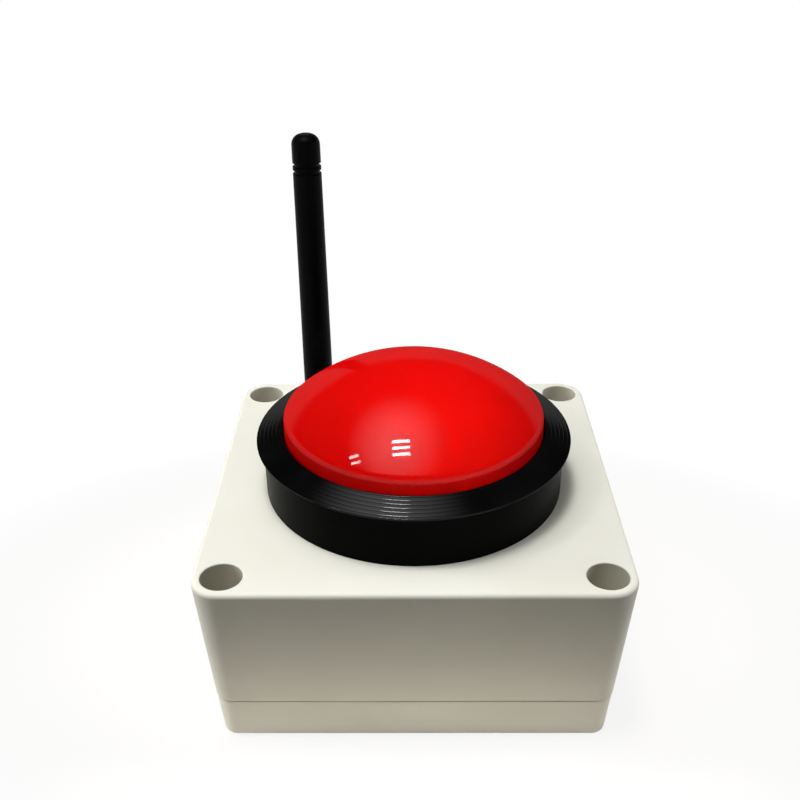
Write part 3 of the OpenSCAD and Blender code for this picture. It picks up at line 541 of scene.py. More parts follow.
plainLook = {  # what holds where a look says nothing else
    "metal": 0, "gloss": 0.5, "clear": 0, "shift": (0, 0, 0), "stretch": (1, 1, 1),
    "grain": 2600, "depth": 0.00003, "bump": 0.3, "coat": {}, "glow": {},
}
wireLook = {"patch": 240, "rough": (0.25, 0.4), "grain": 2200, "depth": 0.00002}
looks = {
    "case_plastic": {
        "deep": (0.765, 0.755, 0.665), "pale": (0.80, 0.79, 0.705), "patch": 26, "rough": (0.34, 0.46),
        "bump": 0.12, "gloss": 0.15,
    },
    # painted shade: a darker copy of the case plastic for the insides of the screw wells
    "case_shaded_well": {
        "deep": (0.60, 0.58, 0.48), "pale": (0.64, 0.62, 0.52), "patch": 40, "rough": (0.5, 0.6),
        "bump": 0.15, "gloss": 0.2,
    },
    "bezel_plastic": {
        "deep": (0.001, 0.001, 0.0012), "pale": (0.0025, 0.0025, 0.003), "patch": 60, "rough": (0.3, 0.4),
        "grain": 1500, "depth": 0.00002, "bump": 0.08, "gloss": 0, "shift": (0, 0.003, 0),
        "coat": {"Coat Weight": 0.12, "Coat Roughness": 0.09, "Coat IOR": 2.2},
        "rings": {"scale": 190, "waver": 1.2, "bump": 0.10, "depth": 0.00004},
    },
    # the bezel's wall below the lip: less glossy, and its darker colour is painted shade, as the wall is the
    # same plastic as the cone
    "bezel_shaded_side": {
        "deep": (0.0008, 0.0008, 0.001), "pale": (0.002, 0.002, 0.002), "patch": 60, "rough": (0.3, 0.45),
        "grain": 1800, "bump": 0.12, "gloss": 0.02, "stretch": (1, 1, 0.2),
    },
    "dome_plastic": {
        "deep": (0.41, 0.0015, 0.001), "pale": (0.44, 0.002, 0.0015), "patch": 16, "rough": (0.3, 0.4),
        "grain": 300, "depth": 0.00002, "bump": 0.03, "gloss": 0,
        "coat": {"Coat Weight": 0.0373, "Coat Roughness": 0.015, "Coat IOR": 4.0},
        "glow": {  # light that spreads inside the plastic
            "Subsurface Weight": 0.7, "Subsurface Radius": (1, 0.05, 0.05), "Subsurface Scale": 0.006,
        },
    },
    "antenna_rubber": {
        "deep": (0.0008, 0.0008, 0.0009), "pale": (0.002, 0.002, 0.002), "patch": 90, "rough": (0.36, 0.48),
        "grain": 2200, "depth": 0.00004, "bump": 0.2, "gloss": 0.03,
    },
    "antenna_plastic": {
        "deep": (0.004, 0.004, 0.004), "pale": (0.009, 0.009, 0.009), "patch": 120, "rough": (0.30, 0.42),
        "bump": 0.2, "gloss": 0.4,
    },
    "seal_rubber": {
        "deep": (0.012, 0.012, 0.012), "pale": (0.025, 0.025, 0.025), "patch": 150, "rough": (0.6, 0.8),
        "grain": 3000, "depth": 0.00004, "gloss": 0.3,
    },
    "screw_steel": {
        "deep": (0.10, 0.10, 0.10), "pale": (0.19, 0.19, 0.185), "patch": 260, "rough": (0.28, 0.45),
        "grain": 1800, "depth": 0.00002, "metal": 1,
    },
    "spring_steel": {
        "deep": (0.46, 0.46, 0.45), "pale": (0.60, 0.60, 0.58), "patch": 300, "rough": (0.18, 0.32),
        "grain": 2400, "depth": 0.00002, "metal": 1,
    },
    "contact_brass": {
        "deep": (0.66, 0.46, 0.18), "pale": (0.82, 0.63, 0.30), "patch": 220, "rough": (0.16, 0.32),
        "grain": 1600, "depth": 0.00002, "metal": 1,
    },
    "white_plastic": {
        "deep": (0.76, 0.76, 0.73), "pale": (0.84, 0.84, 0.82), "patch": 60, "rough": (0.35, 0.5),
    },
    "lamp_glass": {
        "deep": (0.90, 0.93, 0.96), "pale": (0.97, 0.98, 1.0), "patch": 80, "rough": (0.02, 0.08),
        "grain": 300, "depth": 0.00002, "bump": 0.05, "clear": 0.85,
    },
    "switch_plastic": {
        "deep": (0.035, 0.035, 0.035), "pale": (0.06, 0.06, 0.06), "patch": 140, "rough": (0.4, 0.55),
        "grain": 2800,
    },
    "board_laminate": {
        "deep": (0.012, 0.10, 0.03), "pale": (0.03, 0.20, 0.07), "patch": 420, "rough": (0.25, 0.4),
        "grain": 2200, "stretch": (1, 0.15, 1),
    },
    "module_laminate": {
        "deep": (0.015, 0.09, 0.07), "pale": (0.05, 0.19, 0.15), "patch": 520, "rough": (0.22, 0.4),
        "grain": 2200, "stretch": (0.2, 1, 1),
    },
    "chip_epoxy": {
        "deep": (0.015, 0.015, 0.015), "pale": (0.03, 0.03, 0.03), "patch": 200, "rough": (0.45, 0.6),
        "grain": 3600,
    },
    "capacitor_sleeve": {
        "deep": (0.012, 0.018, 0.07), "pale": (0.03, 0.045, 0.14), "patch": 160, "rough": (0.2, 0.35),
        "grain": 1800, "depth": 0.00002,
    },
    "terminal_plastic": {
        "deep": (0.03, 0.23, 0.07), "pale": (0.06, 0.33, 0.12), "patch": 130, "rough": (0.35, 0.5),
    },
    "battery_can": {
        "deep": (0.20, 0.22, 0.25), "pale": (0.32, 0.35, 0.39), "patch": 90, "rough": (0.25, 0.4),
        "grain": 1800, "depth": 0.00002, "stretch": (0.25, 1, 1),
    },
    "pad_foam": {
        "deep": (0.24, 0.24, 0.235), "pale": (0.40, 0.40, 0.39), "patch": 900, "rough": (0.8, 0.95),
        "depth": 0.0001, "bump": 0.6, "gloss": 0.2,
    },
    "snap_vinyl": {
        "deep": (0.018, 0.018, 0.018), "pale": (0.035, 0.035, 0.035), "patch": 180, "rough": (0.4, 0.55),
        "grain": 2200, "depth": 0.00004,
    },
    "battery_wire": {"deep": (0.46, 0.012, 0.012), "pale": (0.60, 0.025, 0.02), **wireLook},
    "switch_wire": {"deep": (0.66, 0.46, 0.03), "pale": (0.80, 0.60, 0.06), **wireLook},
    "lamp_wire": {"deep": (0.03, 0.07, 0.36), "pale": (0.05, 0.12, 0.50), **wireLook},
    "coax_jacket": {
        "deep": (0.015, 0.015, 0.015), "pale": (0.035, 0.035, 0.035), **wireLook, "rough": (0.3, 0.45),
    },
}
finishes = {slot: surface(slot, {**plainLook, **look}) for slot, look in looks.items()}
for part in frame["record"]["subparts"]:
    nodeMesh = frame["nodes"][part["node"]].data
    nodeMesh.materials.clear()
    nodeMesh.materials.append(finishes[part["material_slot"]])
print("buzzer: finishes made")


# Case

case = {
    "half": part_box("upper_housing")[1].x,
    "top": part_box("upper_housing")[1].z,
    "parting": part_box("upper_housing")[0].z,
    "corner": 0.0089,
    "lean": math.tan(math.radians(4)),
    "wall": 0.003,
    "panel": 0.0032,
    "edge": 0.0015,
    "innerEdge": 0.001,
    "postSkin": 0.0004,
    "seam": 0.0003,
    "slack": 0.001,  # how far a tool reaches past what it cuts
    "wellTop": 0.0062,
    "wellFloor": 0.0049,
    "wellRim": 0.0004,
    "screwHole": 0.0023,
    "screwHead": 0.0026,  # how high the heads stand on the wells' floors
    "screwReach": 0.014,  # and how far the shanks go down from there
    "stemHole": 0.0123,
    "jackHole": 0.00325,
    "jackFlat": 0.007,
    "jackSeat": 0.0054,
    "jackDeep": 0.008,  # from the jack's inner end to its seat in the wall
}
buttonAxis = Vector((0, -0.003, 0))
outward = Vector((0, 1, 0))  # the way the jack points
cornerAt = case["half"] - case["corner"]
cornerSpots = [(x * cornerAt, y * cornerAt) for x in (-1, 1) for y in (-1, 1)]
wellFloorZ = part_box("housing_screws")[1].z - case["screwHead"]
jackSpot = middleOf("jack_washer")
jackSpot.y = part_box("jack_washer")[0].y
seatSpot = Vector((jackSpot.x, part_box("antenna_jack")[0].y + case["jackDeep"], jackSpot.z))


def leanAt(height):
    return case["lean"] * (case["top"] - height)


def postRadius(height):
    return case["corner"] - leanAt(height) - case["postSkin"]


def wellRims(edge):
    def onRim(vert):
        level = abs(vert.co.z - case["top"]) < tolerance["level"]
        reaches = [(vert.co.xy - Vector(spot)).length for spot in cornerSpots]
        return level and any(abs(reach - case["wellTop"]) < tolerance["round"] for reach in reaches)
    return all(onRim(vert) for vert in edge.verts)


def inWell(spot):
    # true for a point on the wall or floor of a screw well, below its rounded rim; these faces get the
    # painted shade
    deep = wellFloorZ - tolerance["level"] < spot.z < case["top"] - 2 * case["wellRim"]
    return deep and any((spot.xy - Vector(corner)).length < case["wellTop"] for corner in cornerSpots)


def makeHousing():
    top, parting, wall, slack = case["top"], case["parting"], case["wall"], case["slack"]
    shell = leaningBlock("housingShell", case["half"], case["corner"], top, parting, leanAt(parting))
    softenEdges(shell, levelEdges(top), case["edge"])
    softenEdges(shell, levelEdges(parting), case["seam"], steps=3)
    roomTop, roomLow = top - case["panel"], parting - slack
    roomLean = leanAt(roomLow) - leanAt(roomTop)
    inset = wall + leanAt(roomTop)
    room = leaningBlock("room", case["half"] - inset, case["corner"] - inset, roomTop, roomLow, roomLean)
    softenEdges(room, levelEdges(roomTop), case["innerEdge"])
    carve(shell, [room])
    postTop = top - case["panel"] / 2
    posts = rodsAt(cornerSpots, postRadius(parting), parting, postTop, topRadius=postRadius(postTop))
    carve(shell, posts, "UNION")
    flare = (case["wellTop"] - case["wellFloor"]) / (top - wellFloorZ)
    mouth = case["wellTop"] + flare * slack
    carve(shell, rodsAt(cornerSpots, case["wellFloor"], wellFloorZ, top + slack, topRadius=mouth))
    holes = rodsAt(cornerSpots, case["screwHole"], parting - slack, wellFloorZ + slack, steps=32)
    holes += rodsAt([buttonAxis.xy], case["stemHole"], roomTop - slack, top + slack)
    carve(shell, holes)
    carve(shell, [rodTool(case["jackFlat"], jackSpot, jackSpot + outward * wall, "Y")])
    inside = jackSpot - outward * 2 * wall
    carve(shell, [rodTool(case["jackHole"], inside, jackSpot + outward * slack, "Y")])
    carve(shell, [rodTool(case["jackSeat"], seatSpot - outward * wall, seatSpot, "Y")])
    tidyMesh(shell)
    softenEdges(shell, wellRims, case["wellRim"], steps=3)
    settle(shell, "case", "case_plastic", "upper_housing")
    # the walls and floors of the screw wells take the darker copy of the case plastic, which paints the
    # shade inside them
    shell.data.materials.append(finishes["case_shaded_well"])
    for face in shell.data.polygons:
        face.material_index = int(inWell(face.center))


base = {
    "step": 0.0002,
    "foot": 0.0018,
    "slotHigh": 0.0004,
    "slotIn": 0.0006,
    "floor": 0.0028,
    "lipGap": 0.00035,
    "lipWall": 0.0018,
    "lipRise": 0.003,
    "sealEdge": 0.0012,
    "sealTurn": 0.0036,
    "sealWidth": 0.0015,
    "sealDepth": 0.0016,
    "screwHole": 0.00205,
    "boardPost": 0.003,
    "boardHole": 0.00125,
    "boardReach": 0.0076,
    "boardIn": 0.0034,
    "ribWide": 0.0016,
    "ribHigh": 0.011,
    "ribShare": 0.6,
    "batteryGap": 0.0003,
}


def roomOutline(gap, low, high):
    # the room inside the rim, with a bay round each corner post
    half = case["half"] - leanAt(case["parting"]) - case["wall"] - gap
    block = boxTool((-half, -half, low), (half, half, high))
    bay = postRadius(case["parting"]) + gap
    return carve(block, rodsAt(cornerSpots, bay, low - case["slack"], high + case["slack"]))


def sealOutline(inset, low, high):
    # the seal's course along the rim, which passes inside each corner post
    half = case["half"] - leanAt(case["parting"]) - base["step"] - base["sealEdge"] - inset
    bay = base["sealTurn"] + inset
    far = case["corner"]
    top = high + case["slack"]
    under, over = low - case["slack"], top + case["slack"]
    block = boxTool((-half, -half, low), (half, half, top))
    for x, y in cornerSpots:
        sx, sy = math.copysign(1, x), math.copysign(1, y)
        carve(block, [rodTool(bay, (x, y, under), (x, y, over))])
        for reachX, reachY in ((bay, 0), (0, bay)):
            xs = sorted((x - sx * reachX, x + sx * far))
            ys = sorted((y - sy * reachY, y + sy * far))
            carve(block, [boxTool((xs[0], ys[0], under), (xs[1], ys[1], over))])
    return block


def batteryRibs(low):
    middle = middleOf("battery_pad")
    can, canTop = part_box("battery")
    wide, top = base["ribWide"], base["floor"] + base["ribHigh"]
    halfGap = (canTop.y - can.y) / 2 + base["batteryGap"]
    sideHalf = base["ribShare"] * (middle.x - can.x)
    endHalf = base["ribShare"] * (canTop.y - can.y) / 2
    endX = can.x - base["batteryGap"]
    ribs = [
        boxTool((middle.x - sideHalf, y, low), (middle.x + sideHalf, y + wide, top))
        for y in (middle.y - halfGap - wide, middle.y + halfGap)
    ]
    ribs.append(boxTool((endX - wide, middle.y - endHalf, low), (endX, middle.y + endHalf, top)))
    return ribs


def makeBase():
    parting, slack, floor = case["parting"], case["slack"], base["floor"]
    slotZ = parting - base["slotHigh"]
    inset = leanAt(slotZ) + base["step"]
    trayLean = leanAt(0) - leanAt(slotZ)
    tray = leaningBlock("baseTray", case["half"] - inset, case["corner"] - inset, slotZ, 0, trayLean)
    softenEdges(tray, levelEdges(0), base["foot"])
    softenEdges(tray, levelEdges(slotZ), case["seam"], steps=3)
    inset = leanAt(parting) + base["step"] + base["slotIn"]
    rimLean = leanAt(floor) - leanAt(parting)
    rim = leaningBlock("rim", case["half"] - inset, case["corner"] - inset, parting, floor, rimLean)
    carve(tray, [rim], "UNION")
    carve(tray, [roomOutline(base["lipGap"], parting - slack, parting + base["lipRise"])], "UNION")
    carve(tray, [roomOutline(base["lipGap"] + base["lipWall"], floor, parting + 2 * base["lipRise"])])
    grooveLow = parting - base["sealDepth"]
    ring = sealOutline(0, grooveLow, parting)
    carve(ring, [sealOutline(base["sealWidth"], grooveLow - slack, parting + slack)])
    carve(tray, [ring])
    low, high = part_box("transmitter_board")
    postXs = (low.x + base["boardIn"], high.x - base["boardIn"])
    postYs = (low.y + base["boardIn"], high.y - base["boardIn"])
    boardSpots = [(x, y) for x in postXs for y in postYs]
    carve(tray, rodsAt(boardSpots, base["boardPost"], floor - slack, low.z, steps=32), "UNION")
    carve(tray, batteryRibs(floor - slack), "UNION")
    screwLow = wellFloorZ - case["screwReach"] - slack
    boardLow = high.z - base["boardReach"] + slack
    holes = rodsAt(cornerSpots, base["screwHole"], screwLow, parting + slack, steps=32)
    holes += rodsAt(boardSpots, base["boardHole"], boardLow, low.z + slack, steps=24)
    carve(tray, holes)
    tidyMesh(tray)
    settle(tray, "case", "case_plastic", "base_cover")


screw = {
    "head": 0.0038, "headTop": 0.00304, "crown": 0.00035, "crownRound": 0.0003,
    "rim": 0.0003, "rimRound": 0.0002, "shank": 0.002, "tipLong": 0.0008, "tipShare": 0.6,
    "slotLong": 0.0042, "slotWide": 0.001, "slotDeep": 0.0016,
}


def makeScrews():
    x, y = cornerSpots[0]
    seat = Vector((x, y, wellFloorZ))
    top, tip = case["screwHead"], -case["screwReach"]
    outline = softCorners([
        (0, top),
        (screw["headTop"], top - screw["crown"], screw["crownRound"]),
        (screw["head"], screw["rim"], screw["rimRound"]),
        (screw["head"], 0),
        (screw["shank"], 0),
        (screw["shank"], tip + screw["tipLong"]),
        (screw["shank"] * screw["tipShare"], tip),
        (0, tip),
    ])
    first = turned("caseScrew0", outline, seat, steps=48)
    halfLong, halfWide = screw["slotLong"] / 2, screw["slotWide"] / 2
    slotLow = seat + Vector((0, 0, top - screw["slotDeep"]))
    slotHigh = seat + Vector((0, 0, top + case["slack"]))
    for across in (Vector((halfLong, halfWide, 0)), Vector((halfWide, halfLong, 0))):
        carve(first, [boxTool(slotLow - across, slotHigh + across)])
    tidyMesh(first)
    screws = [first]
    for number, spot in enumerate(cornerSpots[1:], 1):
        screws.append(copyOf(first, f"caseScrew{number}", (spot[0] - x, spot[1] - y, 0)))
    for piece in screws:
        settle(piece, "case", "screw_steel", "housing_screws")


makeHousing()
print("buzzer: housing modelled")
makeBase()
makeScrews()
print("buzzer: base and case screws modelled")


# Button: heights are above the panel

panelTop = buttonAxis + Vector((0, 0, case["top"]))
bezel = {
    "lip": 0.050, "lipHigh": 0.018, "lipEdge": 0.0005, "lipUnder": 0.0016, "wall": 0.048, "thick": 0.0022,
    "crown": 0.021, "guide": 0.0417, "floor": 0.0055, "floorThick": 0.0025,
    "stop": 0.031275, "stopWide": 0.003, "stopHigh": 0.0081,
    "stem": 0.012, "stemBore": 0.0092, "stemLong": 0.014, "hub": 0.0157557, "hubThick": 0.0012,
    "pocketIn": 0.0106, "pocketOut": 0.0135557, "ribs": 12, "ribThick": 0.0018,
    "footRound": 0.0003, "underRound": 0.0008, "rimRound": 0.00015, "lipRound": 0.0002, "crownRound": 0.0006,
    "stopRound": 0.0003,
    "lines": 6, "lineWide": 0.0005, "lineDeep": 0.00005,
    "lineFirst": 0.7, "lineSpare": 0.4,  # in steps from line to line
    # each point's share of half a line's width and of its depth
    "lineShape": ((-1, 0), (-0.5, 0.5), (0, 1), (0.5, 0.5), (1, 0)),
}


def turnedLines(start, end):
    # shallow lines that the lathe leaves on the sloping face, from its rim up to its crown
    b = bezel
    along = (end - start).normalized()
    inward = Vector((along.y, -along.x)) * b["lineDeep"]
    half = along * b["lineWide"] / 2
    made = []
    for number in range(b["lines"]):
        middle = start.lerp(end, (number + b["lineFirst"]) / (b["lines"] + b["lineSpare"]))
        made += [tuple(middle + half * across - inward * deep) for across, deep in b["lineShape"]]
    return made


def makeBezel():
    b = bezel
    floorLow = b["floor"] - b["floorThick"]
    grooveTop = b["lipHigh"] - b["lipUnder"] - b["thick"]
    lipLow = b["lipHigh"] - b["lipEdge"]
    outline = softCorners([
        (b["stemBore"], -b["stemLong"]),
        (b["stem"], -b["stemLong"]),
        (b["stem"], 0),
        (b["hub"], 0),
        (b["hub"], floorLow),
        (b["guide"] + b["thick"], floorLow),
        (b["guide"] + b["thick"], grooveTop),
        (b["wall"] - b["thick"], grooveTop),
        (b["wall"] - b["thick"], 0),
        (b["wall"], 0, b["footRound"]),
        (b["wall"], lipLow - b["lipUnder"], b["underRound"]),
        (b["lip"], lipLow, b["rimRound"]),
        (b["lip"], b["lipHigh"], b["lipRound"]),
        *turnedLines(Vector((b["lip"], b["lipHigh"])), Vector((b["guide"], b["crown"]))),
        (b["guide"], b["crown"], b["crownRound"]),
        (b["guide"], b["floor"]),
        (b["stop"] + b["stopWide"], b["floor"]),
        (b["stop"] + b["stopWide"], b["stopHigh"], b["stopRound"]),
        (b["stop"], b["stopHigh"], b["stopRound"]),
        (b["stop"], b["floor"]),
        (b["pocketOut"], b["floor"]),
        (b["pocketOut"], b["hubThick"]),
        (b["pocketIn"], b["hubThick"]),
        (b["pocketIn"], b["floor"]),
        (b["stemBore"], b["floor"]),
        (b["stemBore"], -b["stemLong"]),
    ])
    ring = turned("bezelRing", outline, panelTop, steps=144)
    half, sunk = b["ribThick"] / 2, b["thick"] / 2
    ribs = []
    for number in range(b["ribs"]):
        rib = boxTool((b["hub"] - sunk, -half, 0), (b["wall"] - sunk, half, floorLow + sunk))
        rib.rotation_euler = (0, 0, math.tau * number / b["ribs"])
        rib.location = panelTop
        takeUp(rib)
        fixPlace()
        ribs.append(rib)
    carve(ring, ribs, "UNION")
    tidyMesh(ring)
    settle(ring, "case", "bezel_plastic", "button_bezel")
    # faces below the lip take the darker copy of the bezel plastic, which paints the wall's shade
    ring.data.materials.append(finishes["bezel_shaded_side"])
    for face in ring.data.polygons:
        face.material_index = int(face.center.z < panelTop.z + lipLow)


dome = {
    "radius": 0.0412, "skirtLow": 0.0124, "shoulder": 0.0254, "rise": 0.0155, "shell": 0.0024,
    "seatDeep": 0.0022, "ledge": 0.0012, "edge": 0.0034, "skirtRound": 0.0004,
    "arcSteps": 28, "innerSteps": 24,
    "arcSpare": 2,  # points left off the arc's end, where the shoulder's rounding begins
}


def makeDome():
    d = dome
    ball = (d["radius"] ** 2 + d["rise"] ** 2) / (2 * d["rise"])
    centre = (0, d["shoulder"] + d["rise"] - ball)
    inside = d["radius"] - d["shell"]
    inner = inside - d["ledge"]
    ledgeZ = d["skirtLow"] + d["seatDeep"]
    shoulderAngle = math.degrees(math.acos(d["radius"] / ball))
    innerAngle = math.degrees(math.acos(inner / (ball - d["shell"])))
    outline = softCorners([
        *arcPoints(centre, ball, 90, shoulderAngle, d["arcSteps"])[:-d["arcSpare"]],
        (d["radius"], d["shoulder"], d["edge"]),
        (d["radius"], d["skirtLow"], d["skirtRound"]),
        (inside, d["skirtLow"]),
        (inside, ledgeZ),
        (inner, ledgeZ),
        *arcPoints(centre, ball - d["shell"], innerAngle, 90, d["innerSteps"]),
    ], steps=6)
    cap = turned("domeCap", outline, panelTop, steps=144)
    settle(cap, "button", "dome_plastic", "dome_cap", angle=40)


spring = {
    "radius": 0.0125557, "wire": 0.0006, "low": 0.00185, "high": 0.01175, "seat": 0.0012,
    "turns": 4.5, "perTurn": 36, "sides": 12,
}


def makeSpring():
    s = spring
    coil = begin(
        "pressSpring", bpy.ops.mesh.primitive_circle_add, vertices=s["sides"], radius=s["wire"],
        location=(s["radius"], 0, 0), rotation=(math.pi / 2, 0, 0),
    )
    steps = int(s["turns"] * s["perTurn"])
    finishWith(
        coil, "SCREW", angle=math.tau * s["turns"], screw_offset=s["high"] - s["low"],
        steps=steps, render_steps=steps,
    )
    openEdit(coil)
    bpy.ops.transform.translate(value=panelTop + Vector((0, 0, s["low"])))
    bpy.ops.mesh.fill_holes(sides=0)
    closeEdit()
    tidyMesh(coil)
    settle(coil, "case", "spring_steel", "return_spring")
    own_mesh(coil)


makeBezel()
makeDome()
makeSpring()
print("buzzer: button modelled")


# Antenna: heights are along the stub from the fold's pin

foldSpot = middleOf("hinge_pin")
stub = {
    "foot": 0.0058, "tip": 0.0051, "footTop": 0.0085, "long": 0.112, "tipRound": 0.0036, "footRound": 0.0002,
    "notches": (0.0982, 0.1007), "notchWide": 0.0013, "notchDeep": 0.0007, "notchEdge": 0.00015,
    "spigot": 0.0035, "spigotTop": 0.0206, "core": 0.0015,
}


def stubRadius(height):
    share = (height - stub["footTop"]) / (stub["long"] - stub["footTop"])
    return stub["foot"] + (stub["tip"] - stub["foot"]) * share


def makeSleeve():
    s = stub
    edge, coreTop = s["notchEdge"], s["notches"][0]
    outline = [(0, s["long"]), (s["tip"], s["long"], s["tipRound"])]
    for low in reversed(s["notches"]):
        high = low + s["notchWide"]
        rim, deep = stubRadius(low), stubRadius(low) - s["notchDeep"]
        outline += [(rim, high, edge), (deep, high, edge), (deep, low, edge), (rim, low, edge)]
    outline += [(s["foot"], s["footTop"], s["footRound"]), (s["spigot"], s["footTop"])]
    outline += [(s["spigot"], s["spigotTop"]), (s["core"], s["spigotTop"])]
    outline += [(s["core"], coreTop), (0, coreTop)]
    sleeve = turned("antennaSleeve", softCorners(outline, steps=6), foldSpot, steps=72)
    settle(sleeve, "antenna_stub", "antenna_rubber", "antenna_sleeve", angle=40)


fold = {
    "barrel": 0.0053, "fork": 0.0050, "slot": 0.0025, "pinHole": 0.0013, "barrelY": 0.012,
    "reach": foldSpot.y - jackSpot.y, "slotRoom": 0.0007, "neck": 0.0024,
    "headRadius": 0.00285, "headY": 0.0091, "headThick": 0.0009, "headRound": 0.0002, "barrelRound": 0.0006,
    "tongue": 0.0044, "tongueHalf": 0.0022, "tongueHole": 0.00155, "footLow": 0.0063, "footRound": 0.0005,
    "rimRound": 0.0002, "spigot": 0.0034, "spigotLong": 0.012, "spigotRound": 0.0004,
    "edge": 0.0003, "edgeAngle": 50,
}


def makeFork():
    f = fold
    outline = softCorners([
        (0, f["headY"]),
        (f["headRadius"], f["headY"], f["headRound"]),
        (f["headRadius"], f["headY"] + f["headThick"], f["headRound"]),
        (f["neck"], f["headY"] + f["headThick"]),
        (f["neck"], f["barrelY"]),
        (f["barrel"], f["barrelY"], f["barrelRound"]),
        (f["barrel"], f["reach"]),
        (0, f["reach"]),
    ])
    fork = turned("antennaFork", outline, jackSpot, axis="Y", steps=72)
    side = Vector((f["fork"], 0, 0))
    ears = rodTool(f["fork"], foldSpot - side, foldSpot + side, "X", steps=72)
    carve(fork, [ears], "UNION")
    slotY = f["reach"] - f["tongue"] - f["slotRoom"]
    slotLow = jackSpot + Vector((-f["slot"], slotY, -2 * f["barrel"]))
    carve(fork, [boxTool(slotLow, jackSpot + Vector((f["slot"], 2 * f["reach"], 2 * f["barrel"])))])
    carve(fork, [rodTool(f["pinHole"], foldSpot - 2 * side, foldSpot + 2 * side, "X", steps=32)])
    tidyMesh(fork)
    softenAll(fork, f["edge"], f["edgeAngle"])
    settle(fork, "antenna_foot", "antenna_plastic", "antenna_knuckle")


def makeFoldFoot():
    f = fold
    spigotTop = stub["footTop"] + f["spigotLong"]
    outline = softCorners([
        (0, f["footLow"]),
        (stub["foot"], f["footLow"], f["footRound"]),
        (stub["foot"], stub["footTop"], f["rimRound"]),
        (f["spigot"], stub["footTop"]),
        (f["spigot"], spigotTop, f["spigotRound"]),
        (0, spigotTop),
    ])
    foot = turned("antennaFoot", outline, foldSpot, steps=72)
    side = Vector((f["tongueHalf"], 0, 0))
    tongue = rodTool(f["tongue"], foldSpot - side, foldSpot + side, "X", steps=64)
    low = foldSpot - Vector((f["tongueHalf"], f["tongue"], 0))
    high = foldSpot + Vector((f["tongueHalf"], f["tongue"], f["footLow"] + case["slack"]))
    carve(tongue, [boxTool(low, high)], "UNION")
    carve(tongue, [rodTool(f["tongueHole"], foldSpot - 2 * side, foldSpot + 2 * side, "X", steps=32)])
    carve(foot, [tongue], "UNION")
    tidyMesh(foot)
    softenAll(foot, f["edge"], f["edgeAngle"])
    settle(foot, "antenna_stub", "antenna_plastic", "antenna_hinge")


nuts = {
    "jackNut": {"flats": 0.008, "low": 0.0006, "high": 0.0028, "bore": 0.00325, "chamfer": 0.0004},
    "couplingNut": {"flats": 0.0086, "low": 0.0031, "high": 0.0087, "bore": 0.00325, "chamfer": 0.0005},
}
collar = {
    "radius": 0.0039, "low": 0.0036, "high": 0.0117, "endThick": 0.0012, "hole": 0.0027, "round": 0.0004,
}


def hexBlock(name, nut):
    # a six-sided bar cut by a turned shape that takes its corners off
    flat = nut["flats"] / 2
    corner = flat / math.cos(math.pi / 6)
    block = rodTool(corner, jackSpot + outward * nut["low"], jackSpot + outward * nut["high"], "Y", steps=6)
    block.name = name
    outline = [
        (0, nut["low"]), (flat, nut["low"]), (corner, nut["low"] + nut["chamfer"]),
        (corner, nut["high"] - nut["chamfer"]), (flat, nut["high"]), (0, nut["high"]),
    ]
    return carve(block, [turned("tool", outline, jackSpot, axis="Y", steps=64)], "INTERSECT")


def boreTool(radius, reach):
    return rodTool(radius, jackSpot, jackSpot + outward * reach, "Y")


def makeNuts():
    c, slack = collar, case["slack"]
    small, large = nuts["jackNut"], nuts["couplingNut"]
    lock = hexBlock("jackNut", small)
    carve(lock, [boreTool(small["bore"], small["high"] + slack)])
    tidyMesh(lock)
    settle(lock, "case", "contact_brass", "jack_nut")
    coupling = hexBlock("couplingNut", large)
    outline = softCorners([
        (0, c["low"]), (c["radius"], c["low"]), (c["radius"], c["high"], c["round"]), (0, c["high"]),
    ])
    carve(coupling, [turned("tool", outline, jackSpot, axis="Y", steps=64)], "UNION")
    carve(coupling, [boreTool(large["bore"], c["high"] - c["endThick"])])
    carve(coupling, [boreTool(c["hole"], c["high"] + slack)])
    tidyMesh(coupling)
    settle(coupling, "case", "contact_brass", "coupling_nut")


makeSleeve()
makeFork()
makeFoldFoot()
makeNuts()
print("buzzer: antenna modelled")


# Leads inside the case: each wire runs from its terminal to its way in the terminal block

lead = {
    "wire": 0.00075, "coax": 0.0012, "steps": 8, "roundness": 3, "pitch": 0.0035, "ways": 6,
    "holeUp": 0.0034, "tabHigh": 0.0048, "lampTab": 0.0012, "snapApart": 0.0024, "plateBack": 0.00725,
    "plugAt": (-0.003, 0.0074, 0.001), "plugHigh": 0.002,
    # shares of the room between button and block: the first wire's, and the step to the second's
    "batteryTurn": (0.58, 0.14), "batteryBack": (0.35, 0.16),
    "switchTurn": (0.23, -0.14), "switchBack": (0.69, 0.18),
}
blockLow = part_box("terminal_block")[0]
wayMouth = Vector((0, blockLow.y, blockLow.z + lead["holeUp"]))
leadRoom = wayMouth.y - buttonAxis.y - lead["plateBack"]


def millimetres(x, y, z):
    return Vector((x, y, z)) / 1000


def roomShare(name, number):
    first, step = lead[name]
    return (first + step * number) * leadRoom


def wayAt(number):
    return wayMouth + Vector(((number - (lead["ways"] - 1) / 2) * lead["pitch"], 0, 0))


def wayEnd(number):
    return [wayAt(number) + millimetres(0, y, 0) for y in (-2.2, -0.9, 2)]


def wayTurn(number, back):
    turn = wayAt(number) - Vector((0, back, 0))
    return [turn + millimetres(4, 0, 0), turn + millimetres(0.8, 1.2, 0), *wayEnd(number)]


def batteryRoute(number):
    start = middleOf("battery_snap")
    start.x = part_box("battery_snap")[1].x
    start.y += (2 * number - 1) * lead["snapApart"]
    turnY = wayMouth.y - roomShare("batteryTurn", number)
    return [
        start,
        start + millimetres(2, 0, 0),
        start + millimetres(9 - 3 * number, 5, 0),
        Vector((start.x, (start.y + wayMouth.y) / 2, start.z)) + millimetres(10 - 3 * number, 0, 0),
        Vector((start.x, turnY, wayMouth.z)) + millimetres(8.4 - 3.5 * number, 0, 0),
        *wayTurn(5 - number, roomShare("batteryBack", number)),
    ]


